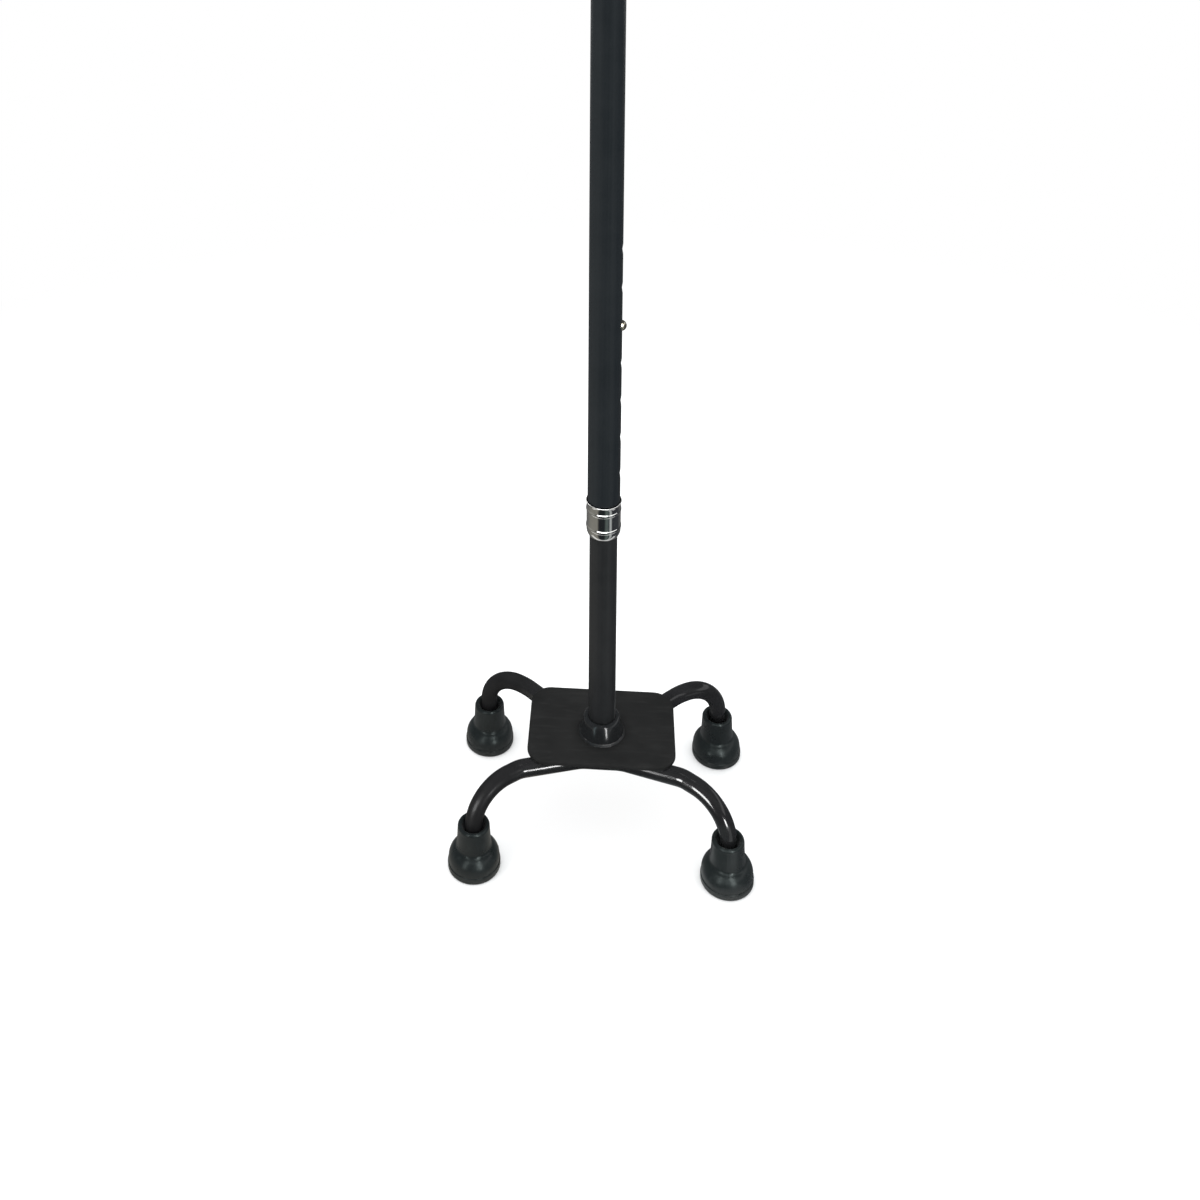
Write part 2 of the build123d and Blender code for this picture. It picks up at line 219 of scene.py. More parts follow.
def hollow_tube(frames, ro, ri, n, lip=0.25):
    """Closed tube wall: outer skin, inner skin, and rolled lips at the two ends."""
    verts, rows = [], []

    def ring(f, r, along=0.0):
        c, e1, e2 = f
        t = np.cross(e1, e2)
        idx = []
        for j in range(n):
            a = 2 * math.pi * j / n
            verts.append(c + t * along + r * (math.cos(a) * e1 + math.sin(a) * e2))
            idx.append(len(verts) - 1)
        rows.append(idx)
    ring(frames[0], ro - lip, 0.0)
    ring(frames[0], ro - lip * 0.3, lip * 0.3)
    ring(frames[0], ro, lip)
    for f in frames[1:-1]:
        ring(f, ro)
    ring(frames[-1], ro, -lip)
    ring(frames[-1], ro - lip * 0.3, -lip * 0.3)
    ring(frames[-1], ro - lip, 0.0)
    ring(frames[-1], ri, 0.0)
    for f in frames[-2:0:-1]:
        ring(f, ri)
    ring(frames[0], ri, 0.0)
    faces = []
    m = len(rows)
    for i in range(m):
        a, b = rows[i], rows[(i + 1) % m]
        for j in range(n):
            k = (j + 1) % n
            faces.append((a[j], a[k], b[k], b[j]))
    return verts, faces


# --------------------------------------------------------------- materials
class Nt:
    """Small helper that builds a node material."""

    def __init__(self, name):
        self.m = bpy.data.materials.new(name)
        self.m.use_nodes = True
        self.t = self.m.node_tree
        self.t.nodes.clear()
        self.out = self.t.nodes.new("ShaderNodeOutputMaterial")
        self.p = self.t.nodes.new("ShaderNodeBsdfPrincipled")
        self.t.links.new(self.p.outputs[0], self.out.inputs[0])
        self.co = self.t.nodes.new("ShaderNodeTexCoord").outputs["Object"]

    def n(self, kind, **kw):
        node = self.t.nodes.new(kind)
        for k, v in kw.items():
            if k in node.inputs:
                node.inputs[k].default_value = v
            else:
                setattr(node, k, v)
        return node

    def link(self, a, b):
        self.t.links.new(a, b)

    def scaled(self, sx, sy, sz):
        mp = self.n("ShaderNodeMapping")
        mp.inputs["Scale"].default_value = (sx, sy, sz)
        self.link(self.co, mp.inputs["Vector"])
        return mp.outputs[0]

    def noise(self, scale, detail=4.0, rough=0.55, vec=None, dist=0.0):
        nd = self.n("ShaderNodeTexNoise", Scale=scale, Detail=detail, Roughness=rough, Distortion=dist)
        self.link(vec if vec is not None else self.co, nd.inputs["Vector"])
        return nd.outputs["Fac"]

    def voronoi(self, scale, feature="F1", vec=None, rand=1.0):
        nd = self.n("ShaderNodeTexVoronoi", Scale=scale, feature=feature, Randomness=rand)
        self.link(vec if vec is not None else self.co, nd.inputs["Vector"])
        return nd.outputs["Distance"]

    def ramp(self, fac, stops, interp="LINEAR"):
        nd = self.n("ShaderNodeValToRGB")
        cr = nd.color_ramp
        cr.interpolation = interp
        while len(cr.elements) < len(stops):
            cr.elements.new(0.5)
        for e, (pos, col) in zip(cr.elements, stops):
            e.position = pos
            e.color = (col, col, col, 1) if isinstance(col, (int, float)) else (*col, 1)
        self.link(fac, nd.inputs["Fac"])
        return nd.outputs["Color"]

    def mix(self, fac, a, b, mode="MIX"):
        nd = self.n("ShaderNodeMix", data_type="RGBA", blend_type=mode)
        if isinstance(fac, (int, float)):
            nd.inputs["Factor"].default_value = fac
        else:
            self.link(fac, nd.inputs["Factor"])
        for sock, v in (("A", a), ("B", b)):
            s = [i for i in nd.inputs if i.name == sock and i.type == "RGBA"][0]
            if isinstance(v, tuple):
                s.default_value = (*v, 1)
            else:
                self.link(v, s)
        return [o for o in nd.outputs if o.type == "RGBA"][0]

    def math(self, op, a, b=None, clamp=False):
        nd = self.n("ShaderNodeMath", operation=op, use_clamp=clamp)
        for i, v in enumerate((a, b)):
            if v is None:
                continue
            if isinstance(v, (int, float)):
                nd.inputs[i].default_value = v
            else:
                self.link(v, nd.inputs[i])
        return nd.outputs[0]

    def maprange(self, fac, a, b, c, d):
        nd = self.n("ShaderNodeMapRange")
        for k, v in (("From Min", a), ("From Max", b), ("To Min", c), ("To Max", d)):
            nd.inputs[k].default_value = v
        self.link(fac, nd.inputs["Value"])
        return nd.outputs[0]

    def edge(self, radius=0.0006, sharp=0.04):
        """1 on worn edges, 0 on flats: how far the bevelled normal leans from the face's."""
        bv = self.n("ShaderNodeBevel", samples=6)
        bv.inputs["Radius"].default_value = radius
        geo = self.n("ShaderNodeNewGeometry")
        dot = self.n("ShaderNodeVectorMath", operation="DOT_PRODUCT")
        self.link(bv.outputs[0], dot.inputs[0])
        self.link(geo.outputs["Normal"], dot.inputs[1])
        return self.maprange(dot.outputs["Value"], 1.0 - sharp, 1.0 - sharp * 4, 0.0, 1.0)

    def ao_painted_shade(self, dist, low):
        """Painted shade from ambient occlusion close to a neighbouring piece: 1 in the open, low in a tight corner."""
        ao = self.n("ShaderNodeAmbientOcclusion")
        ao.samples = 6
        ao.inputs["Distance"].default_value = dist
        return self.maprange(ao.outputs["AO"], 0.35, 0.95, low, 1.0)

    def bump(self, parts, base=None):
        """parts: list of (height socket, strength, distance in m)."""
        prev = base
        for h, s, d in parts:
            b = self.n("ShaderNodeBump")
            b.inputs["Strength"].default_value = s
            b.inputs["Distance"].default_value = d
            self.link(h, b.inputs["Height"])
            if prev is not None:
                self.link(prev, b.inputs["Normal"])
            prev = b.outputs[0]
        self.link(prev, self.p.inputs["Normal"])

    def set(self, **kw):
        for k, v in kw.items():
            k = k.replace("_", " ")
            s = self.p.inputs[k]
            if hasattr(v, "is_output") or isinstance(v, bpy.types.NodeSocket):
                self.link(v, s)
            elif isinstance(v, tuple) and len(v) == 3:
                s.default_value = (*v, 1)
            else:
                s.default_value = v
        return self


def tube_coat(name, dark, light, rough, sheen_lines=True, rub=None):
    """Coat on the shaft tubes: fine orange peel, faint lengthwise draw lines, cloudy tone."""
    g = Nt(name)
    cloud = g.noise(38.0, 5.0, 0.6)
    lines = g.noise(1.0, 3.0, 0.6, vec=g.scaled(900, 900, 6))
    fine = g.noise(2600.0, 2.0, 0.5)
    col = g.mix(g.maprange(cloud, 0.35, 0.68, 0.0, 1.0), dark, light)
    col = g.mix(g.maprange(lines, 0.3, 0.75, 0.0, 0.35), col, tuple(min(1, c * 1.35) for c in light))
    # a light scatter of dust and handling marks
    dust = g.maprange(g.noise(420.0, 6.0, 0.75), 0.66, 0.8, 0.0, 0.10)
    col = g.mix(dust, col, (0.16, 0.16, 0.155))
    r = g.math("ADD", g.maprange(cloud, 0.3, 0.7, rough - 0.04, rough + 0.05), g.maprange(lines, 0.3, 0.7, -0.02, 0.03))
    if rub is not None:
        # vertical rub line on the side where the button drags along the tube
        sep = g.n("ShaderNodeSeparateXYZ"); g.link(g.co, sep.inputs[0])
        band = g.maprange(g.math("ABSOLUTE", g.math("SUBTRACT", sep.outputs["Y"], SHAFT[1] * MM)), rub, rub * 0.55, 0.0, 1.0)
        band = g.math("MULTIPLY", band, g.maprange(sep.outputs["X"], 0.0, 0.004, 0.0, 1.0))
        streak = g.maprange(g.noise(1.0, 5.0, 0.7, vec=g.scaled(2600, 2600, 14)), 0.5, 0.66, 0.0, 0.55)
        wear = g.math("MULTIPLY", band, streak)
        col = g.mix(wear, col, (0.30, 0.31, 0.32))
        r = g.math("SUBTRACT", r, g.math("MULTIPLY", wear, 0.12))
    # painted shade: the coat colour is darkened by ambient occlusion within 6 mm of a neighbouring piece
    col = g.mix(1.0, col, g.ao_painted_shade(0.006, 0.25), "MULTIPLY")
    g.set(Base_Color=col, Roughness=r, Metallic=0.0, IOR=1.47)
    g.p.inputs["Specular IOR Level"].default_value = 0.42
    g.bump([(fine, 0.10, 0.00004), (lines, 0.10, 0.00003), (g.noise(520.0, 2.0, 0.4), 0.10, 0.00006)])
    return g.m


def gloss_paint(name, base=(0.0105, 0.0105, 0.011), rough=0.13, dull_foot=False):
    """Gloss stove paint on bent steel tube: orange peel, dust specks, slightly dull patches."""
    g = Nt(name)
    cloud = g.noise(55.0, 4.0, 0.6)
    peel = g.noise(620.0, 2.0, 0.45)
    speck = g.maprange(g.voronoi(950.0), 0.0, 0.10, 0.55, 0.0)
    gate = g.maprange(g.noise(260.0, 2.0, 0.5), 0.56, 0.62, 0.0, 1.0)
    speck = g.math("MULTIPLY", speck, gate)
    col = g.mix(g.maprange(cloud, 0.3, 0.7, 0.0, 1.0), base, tuple(c * 1.5 for c in base))
    col = g.mix(g.math("MULTIPLY", speck, 0.35), col, (0.10, 0.10, 0.10))
    edge = g.math("MULTIPLY", g.edge(0.0005), g.maprange(g.noise(300.0, 5.0, 0.7), 0.52, 0.64, 0.0, 0.6))
    col = g.mix(edge, col, (0.20, 0.19, 0.18))
    r = g.math("ADD", g.maprange(cloud, 0.3, 0.75, rough, rough + 0.10), g.math("MULTIPLY", speck, 0.2))
    coat = 0.6
    if dull_foot:
        # paint rubbed dull on the run down into the left feet
        sep = g.n("ShaderNodeSeparateXYZ"); g.link(g.co, sep.inputs[0])
        dull = g.maprange(g.math("ADD", sep.outputs["X"], g.maprange(cloud, 0.3, 0.7, -0.004, 0.004)), -0.050, -0.064, 0.0, 1.0)
        r = g.math("ADD", r, g.math("MULTIPLY", dull, 0.24))
        coat = g.maprange(dull, 0.0, 1.0, 0.6, 0.05)
    g.set(Base_Color=col, Roughness=r, IOR=1.52, Coat_Weight=coat)
    if dull_foot:
        g.link(g.maprange(dull, 0.0, 1.0, 0.5, 0.14), g.p.inputs["Specular IOR Level"])
    g.p.inputs["Coat Roughness"].default_value = 0.09
    g.bump([(peel, 0.16, 0.00012), (speck, 0.25, 0.00006), (g.noise(90.0, 2.0, 0.5), 0.10, 0.0003)])
    return g.m


def matt_paint(name, wear=1.0):
    """Matt black paint on the pressed plate: fine dry texture, chalky clouding, worn edges."""
    g = Nt(name)
    cloud = g.noise(30.0, 6.0, 0.62)
    grain = g.noise(2300.0, 3.0, 0.6)
    grain2 = g.voronoi(1900.0)
    swirl = g.noise(1.0, 5.0, 0.65, vec=g.scaled(46, 260, 80), dist=0.6)
    col = g.mix(g.maprange(cloud, 0.32, 0.7, 0.0, 1.0), (0.0105, 0.0108, 0.0107), (0.0165, 0.0166, 0.0164))
    col = g.mix(g.maprange(swirl, 0.5, 0.75, 0.0, 0.3), col, (0.036, 0.036, 0.035))
    dust = g.maprange(g.noise(700.0, 6.0, 0.8), 0.62, 0.8, 0.0, 0.14)
    col = g.mix(dust, col, (0.15, 0.145, 0.14))
    scratch = g.maprange(g.noise(1.0, 2.0, 0.5, vec=g.scaled(18, 2100, 10), dist=1.2), 0.70, 0.76, 0.0, 0.22)
    col = g.mix(scratch, col, (0.12, 0.12, 0.12))
    edge = g.math("MULTIPLY", g.edge(0.0012, 0.03), g.maprange(g.noise(210.0, 6.0, 0.75), 0.48, 0.64, 0.05 * wear, 0.75 * wear))
    col = g.mix(edge, col, (0.12, 0.118, 0.112))
    # painted shade: the paint colour is darkened by ambient occlusion within 8 mm of a neighbouring piece
    col = g.mix(1.0, col, g.ao_painted_shade(0.008, 0.30), "MULTIPLY")
    r = g.math("ADD", g.maprange(cloud, 0.3, 0.7, 0.50, 0.62), g.math("MULTIPLY", edge, -0.15))
    g.set(Base_Color=col, Roughness=r, IOR=1.45)
    g.p.inputs["Specular IOR Level"].default_value = 0.38
    g.bump([(grain, 0.25, 0.00006), (grain2, 0.12, 0.00005), (g.noise(140.0, 3.0, 0.5), 0.12, 0.0003)])
    return g.m


def rubber(name):
    """Moulded rubber: satin, greenish black, chalky bloom in the creases and scuffs near the floor."""
    g = Nt(name)
    cloud = g.noise(70.0, 5.0, 0.6)
    grain = g.noise(1900.0, 3.0, 0.6)
    sep = g.n("ShaderNodeSeparateXYZ"); g.link(g.co, sep.inputs[0])
    low = g.maprange(sep.outputs["Z"], 0.0075, 0.0, 0.0, 1.0)
    col = g.mix(g.maprange(cloud, 0.3, 0.7, 0.0, 1.0), (0.0069, 0.0100, 0.0103), (0.0111, 0.0154, 0.0158))
    bloom = g.maprange(g.noise(240.0, 6.0, 0.72), 0.55, 0.78, 0.0, 0.22)
    col = g.mix(bloom, col, (0.060, 0.074, 0.072))
    scuff = g.math("MULTIPLY", low, g.maprange(g.noise(1.0, 6.0, 0.75, vec=g.scaled(160, 160, 700)), 0.42, 0.66, 0.0, 0.55))
    col = g.mix(scuff, col, (0.092, 0.090, 0.084))
    r = g.math("ADD", g.maprange(cloud, 0.3, 0.7, 0.25, 0.35), g.math("MULTIPLY", scuff, 0.25))
    g.set(Base_Color=col, Roughness=r, IOR=1.5)
    g.p.inputs["Specular IOR Level"].default_value = 0.5
    g.p.inputs["Sheen Weight"].default_value = 0.06
    g.p.inputs["Sheen Roughness"].default_value = 0.5
    g.bump([(grain, 0.20, 0.00006), (g.noise(330.0, 3.0, 0.5), 0.16, 0.0002), (scuff, 0.3, 0.0001)])
    return g.m


def chrome(name):
    """Bright plate with soft clouding, tiny pits and faint turning marks round the ring."""
    g = Nt(name)
    cloud = g.noise(260.0, 5.0, 0.6)
    turn = g.noise(1.0, 2.0, 0.5, vec=g.scaled(8, 8, 5200))
    pit = g.maprange(g.voronoi(1500.0), 0.0, 0.13, 1.0, 0.0)
    pit = g.math("MULTIPLY", pit, g.maprange(g.noise(420.0, 2.0, 0.5), 0.58, 0.64, 0.0, 1.0))
    col = g.mix(g.maprange(cloud, 0.35, 0.7, 0.0, 1.0), (0.70, 0.70, 0.685), (0.80, 0.80, 0.79))
    col = g.mix(g.math("MULTIPLY", pit, 0.7), col, (0.18, 0.15, 0.12))
    r = g.math("ADD", g.maprange(cloud, 0.35, 0.75, 0.06, 0.14), g.math("MULTIPLY", pit, 0.3))
    g.set(Base_Color=col, Roughness=r, Metallic=1.0)
    g.bump([(turn, 0.05, 0.00002), (g.noise(340.0, 2.0, 0.5), 0.10, 0.00008), (pit, 0.2, 0.00004)])
    return g.m


def metal(name, c0, c1, rough, lines=None, tint=None, edge_wear=False):
    g = Nt(name)
    cloud = g.noise(320.0, 5.0, 0.65)
    col = g.mix(g.maprange(cloud, 0.3, 0.72, 0.0, 1.0), c0, c1)
    if tint is not None:
        col = g.mix(g.maprange(g.noise(150.0, 4.0, 0.6), 0.5, 0.7, 0.0, 0.45), col, tint)
    r = g.maprange(cloud, 0.3, 0.75, rough, rough + 0.14)
    parts = [(g.noise(1500.0, 3.0, 0.6), 0.12, 0.00004)]
    if lines:
        ln = g.noise(1.0, 3.0, 0.6, vec=g.scaled(*lines))
        parts.append((ln, 0.2, 0.00004))
        r = g.math("ADD", r, g.maprange(ln, 0.3, 0.7, -0.04, 0.06))
    g.set(Base_Color=col, Roughness=r, Metallic=1.0)
    g.bump(parts)
    return g.m


def foam(name):
    """Closed cell foam rubber: open pores of mixed size, dull, dusty, slightly shiny where the palm rubs."""
    g = Nt(name)
    cell = g.voronoi(1250.0, vec=g.scaled(1, 1, 1))
    cell2 = g.voronoi(2600.0)
    pores = g.maprange(cell, 0.0, 0.42, 0.0, 1.0)
    cloud = g.noise(34.0, 5.0, 0.6)
    sep = g.n("ShaderNodeSeparateXYZ"); g.link(g.co, sep.inputs[0])
    top = g.maprange(sep.outputs["Z"], 0.820, 0.834, 0.0, 1.0)
    col = g.mix(g.maprange(cloud, 0.3, 0.7, 0.0, 1.0), (0.0085, 0.0088, 0.0090), (0.0150, 0.0150, 0.0154))
    # painted shade: the pore cells are darkened towards near black in the colour, as shade inside them
    col = g.mix(g.math("MULTIPLY", g.math("SUBTRACT", 1.0, pores), 0.75), col, (0.004, 0.004, 0.004))
    lint = g.maprange(g.noise(900.0, 6.0, 0.8), 0.64, 0.82, 0.0, 0.28)
    col = g.mix(lint, col, (0.060, 0.059, 0.057))
    rub = g.math("MULTIPLY", top, g.maprange(cloud, 0.4, 0.7, 0.2, 1.0))
    r = g.math("SUBTRACT", g.maprange(cloud, 0.3, 0.7, 0.82, 0.95), g.math("MULTIPLY", rub, 0.22))
    g.set(Base_Color=col, Roughness=r, IOR=1.4)
    g.p.inputs["Sheen Weight"].default_value = 0.12
    g.p.inputs["Sheen Roughness"].default_value = 0.6
    g.bump([(pores, 0.75, 0.00022), (cell2, 0.35, 0.0001), (g.noise(120.0, 4.0, 0.6), 0.35, 0.0006)])
    return g.m


def plastic(name, c0, c1, rough, scale=1500.0):
    g = Nt(name)
    cloud = g.noise(110.0, 4.0, 0.6)
    grain = g.voronoi(scale)
    col = g.mix(g.maprange(cloud, 0.3, 0.7, 0.0, 1.0), c0, c1)
    dust = g.maprange(g.noise(800.0, 6.0, 0.78), 0.62, 0.8, 0.0, 0.15)
    col = g.mix(dust, col, (0.14, 0.14, 0.135))
    edge = g.math("MULTIPLY", g.edge(0.0006), 0.3)
    col = g.mix(edge, col, (0.07, 0.07, 0.07))
    g.set(Base_Color=col, Roughness=g.maprange(cloud, 0.3, 0.7, rough, rough + 0.12), IOR=1.46)
    g.bump([(grain, 0.22, 0.00008), (g.noise(2400.0, 2.0, 0.5), 0.15, 0.00004)])
    return g.m


M_UP = tube_coat("upper_tube_coat", (0.0100, 0.0138, 0.0168), (0.0138, 0.0180, 0.0212), 0.40)
M_LOW = tube_coat("lower_tube_coat", (0.0125, 0.0136, 0.0146), (0.0175, 0.0186, 0.0196), 0.42, rub=0.0042)
M_PLATE = matt_paint("plate_paint")
M_LEG = gloss_paint("leg_paint", dull_foot=True)
M_SOCKET = gloss_paint("socket_paint", (0.010, 0.0108, 0.0115), 0.16)
M_WELD = gloss_paint("weld_paint", (0.0085, 0.0092, 0.0098), 0.34)
M_TIP = rubber("tip_rubber")
M_CHROME = chrome("collar_chrome")
M_BRASS = metal("button_brass", (0.90, 0.82, 0.64), (0.95, 0.90, 0.78), 0.16, tint=(0.72, 0.58, 0.36))
M_BARE = metal("bare_edge", (0.34, 0.35, 0.36), (0.60, 0.61, 0.62), 0.28)
M_ZINC = metal("zinc_steel", (0.50, 0.50, 0.48), (0.68, 0.68, 0.66), 0.30, lines=(900, 900, 40), tint=(0.55, 0.50, 0.36))
M_SPRING = metal("spring_steel", (0.36, 0.36, 0.38), (0.50, 0.50, 0.52), 0.26, lines=(40, 900, 900))
M_FOAM = foam("grip_foam")
M_PLUG = plastic("plug_plastic", (0.0135, 0.0135, 0.014), (0.020, 0.020, 0.0205), 0.38)
M_NYLON = plastic("nylon", (0.030, 0.030, 0.030), (0.045, 0.045, 0.045), 0.34, 1100.0)

# the small hidden CAD pieces keep their shape and get their finish
for node, m in (("lock_washer", M_ZINC), ("threaded_insert", M_ZINC), ("tip_washers", M_ZINC), ("guide_bush", M_NYLON),
                ("collet_bush", M_NYLON), ("snap_spring", M_SPRING)):
    NODES[node].data.materials.clear()
    NODES[node].data.materials.append(m)


# ------------------------------------------------- the two tubes of the shaft
def holed_tube(name, node, mats, ro, ri, z0, straight_end, holes, body, bent=None, n_around=44, at=SHAFT):
    """Tube wall with a row of round, bevelled holes on its +X side, and an optional bent end."""
    a = 5.6 / ro
    ncol_p = 8
    th = list(np.linspace(-a, a, ncol_p + 1)) + list(np.linspace(a, 2 * math.pi - a, n_around + 1)[1:-1])
    nc = len(th)
    zs, tags = [z0], [None]
    z = z0
    for i, hz in enumerate(holes):
        lo, hi = hz - 5.6, hz + 5.6
        n = max(2, int((lo - z) / 6.0))
        for k in range(1, n):
            zs.append(z + (lo - z) * k / n); tags.append(None)
        for k in range(9):
            zs.append(lo + (hi - lo) * k / 8); tags.append((i, k))
        z = hi
    n = max(1, int((straight_end - z) / 6.0))
    for k in range(1, n + 1):
        zs.append(z + (straight_end - z) * k / n); tags.append(None)
    X, Y = np.array((1.0, 0, 0)), np.array((0, 1.0, 0))
    frames = [(np.array((0, 0, zz)), X, Y) for zz in zs]
    if bent is not None:
        extra = tube_rings(np.array([(0, 0, straight_end)] + list(bent)), (1, 0, 0))[1:]
        frames += extra
        tags += [None] * len(extra)
    verts, faces, fm = [], [], []

    def ring(f, r, along=0.0):
        c, e1, e2 = f
        t = np.cross(e1, e2)
        row = []
        for q in th:
            verts.append(c + t * along + r * (math.cos(q) * e1 + math.sin(q) * e2))
            row.append(len(verts) - 1)
        return row

    def band(r0, r1, flip, mat=0):
        for j in range(nc):
            k = (j + 1) % nc
            q = (r0[j], r0[k], r1[k], r1[j])
            faces.append(q[::-1] if flip else q); fm.append(mat)

    def skin(r, inner):
        rows = []
        for f, tag in zip(frames, tags):
            c, e1, e2 = f
            row = []
            for j, q in enumerate(th):
                if tag is not None and 0 < tag[1] < 8 and 0 < j < ncol_p:
                    row.append(None); continue
                verts.append(c + r * (math.cos(q) * e1 + math.sin(q) * e2))
                row.append(len(verts) - 1)
            rows.append(row)
        for i in range(len(rows) - 1):
            same = tags[i] is not None and tags[i + 1] is not None and tags[i][0] == tags[i + 1][0]
            for j in range(nc):
                if same and j < ncol_p:
                    continue
                k = (j + 1) % nc
                q = (rows[i][j], rows[i][k], rows[i + 1][k], rows[i + 1][j])
                faces.append(q[::-1] if inner else q); fm.append(0)
        return rows

    outer, inner = skin(ro, False), skin(ri, True)
    for hi, hz in enumerate(holes):
        r0 = [i for i, t in enumerate(tags) if t == (hi, 0)][0]
        loop_idx = [(r0, j) for j in range(ncol_p)] + [(r0 + k, ncol_p) for k in range(8)] + \
                   [(r0 + 8, j) for j in range(ncol_p, 0, -1)] + [(r0 + k, 0) for k in range(8, 0, -1)]
        m = len(loop_idx)

        def patch(rows, r, rings, inner_side):
            loop = [rows[i][j] for i, j in loop_idx]
            pos = [np.array(verts[v]) for v in loop]
            ang = [math.atan2(p[2] - hz, p[1]) for p in pos]
            prev = loop
            for rho, depth, blend in rings:
                cur = []
                for p, q in zip(pos, ang):
                    y = p[1] * (1 - blend) + rho * math.cos(q) * blend
                    dz = (p[2] - hz) * (1 - blend) + rho * math.sin(q) * blend
                    verts.append(np.array((math.sqrt(r * r - y * y) - depth, y, dz + hz)))
                    cur.append(len(verts) - 1)
                for j in range(m):
                    k = (j + 1) % m
                    q4 = (prev[j], prev[k], cur[k], cur[j])
                    faces.append(q4[::-1] if inner_side else q4)
                    fm.append(1 if abs(depth) > 0.04 else 0)
                prev = cur
            return prev
        o = patch(outer, ro, [(4.0, 0, 0.35), (4.0, 0, 0.7), (4.0, 0, 1.0), (3.82, 0.012, 1), (3.68, 0.05, 1), (3.58, 0.13, 1), (3.52, 0.26, 1), (HOLE_R, 0.42, 1)], False)
        n_ = patch(inner, ri, [(3.9, 0, 0.5), (3.9, 0, 1.0), (3.62, 0.0, 1), (HOLE_R, -0.12, 1)], True)
        for j in range(m):
            k = (j + 1) % m
            faces.append((o[j], o[k], n_[k], n_[j])); fm.append(1)
    # rolled lips at both ends
    lip = 0.22
    for end, sgn in ((0, -1.0), (-1, 1.0)):
        f = frames[end]
        flip = sgn < 0
        rows = [outer[end], ring(f, ro - lip * 0.3, sgn * lip * 0.7), ring(f, ro - lip, sgn * lip), ring(f, ri + lip * 0.6, sgn * lip), inner[end]]
        for i in range(len(rows) - 1):
            band(rows[i], rows[i + 1], flip)
    return make(name, verts, faces, body, (node,), mats, fm, angle=38, at=at)


LIP = 0.22
full, _ = fillet_path([(0, 0, UP_Z0), (0, 0, 652.0), (NECK_X, 0, 737.0), (NECK_X, 0, GRIP_Z), (HANDLE_END - LIP, 0, GRIP_Z)],
                      [48.0, 48.0, 34.0], step=5.0, arc_deg=3.0)
bent = [q for q in full if not (abs(q[0]) < 1e-6 and q[2] < 636.0)]
holed_tube("upper_tube_shell", "upper_tube", (M_UP, M_BARE), UP_RO, UP_RI, UP_Z0 + LIP, bent[0][2] - 4.0, HOLES, "upper_shaft", bent)
holed_tube("lower_tube_shell", "lower_tube", (M_LOW, M_BARE), LOW_RO, LOW_RI, PLATE_Z1 + LIP, LOW_TOP - LIP, [BTN_Z], "base", None, 64)

# ---------------------------------------------------------------- leg tubes
FRONT_PTS = [(-FOOT_X, FRONT_Y, 7.5), (-FOOT_X, FRONT_Y, LEG_Z), (-56, -34.2, LEG_Z), (-14, -22.2, LEG_Z), (14, -22.2, LEG_Z),
             (56, -34.2, LEG_Z), (FOOT_X, FRONT_Y, LEG_Z), (FOOT_X, FRONT_Y, 7.5)]
RISE = 4.0
REAR_PTS = [(-FOOT_X, REAR_Y, 7.5), (-FOOT_X, REAR_Y, LEG_Z + RISE), (-57, 46.0, LEG_Z), (-24, 16.5, LEG_Z), (24, 16.5, LEG_Z),
            (57, 46.0, LEG_Z), (FOOT_X, REAR_Y, LEG_Z + RISE), (FOOT_X, REAR_Y, 7.5)]
for nm, pts, rad in (("front_leg_tube", FRONT_PTS, [27.5, 18.0, 27.0, 27.0, 18.0, 27.5]), ("rear_leg_tube", REAR_PTS, [22.0, 27.0, 27.0, 27.0, 27.0, 22.0])):
    path, _ = fillet_path(pts, rad, step=2.5, arc_deg=2.5)
    v, f = hollow_tube(tube_rings(path, (1, 0, 0)), LEG_R, LEG_R - 1.5, 56)
    make(nm + "_paint", v, f, "base", (nm,), (M_LEG,))


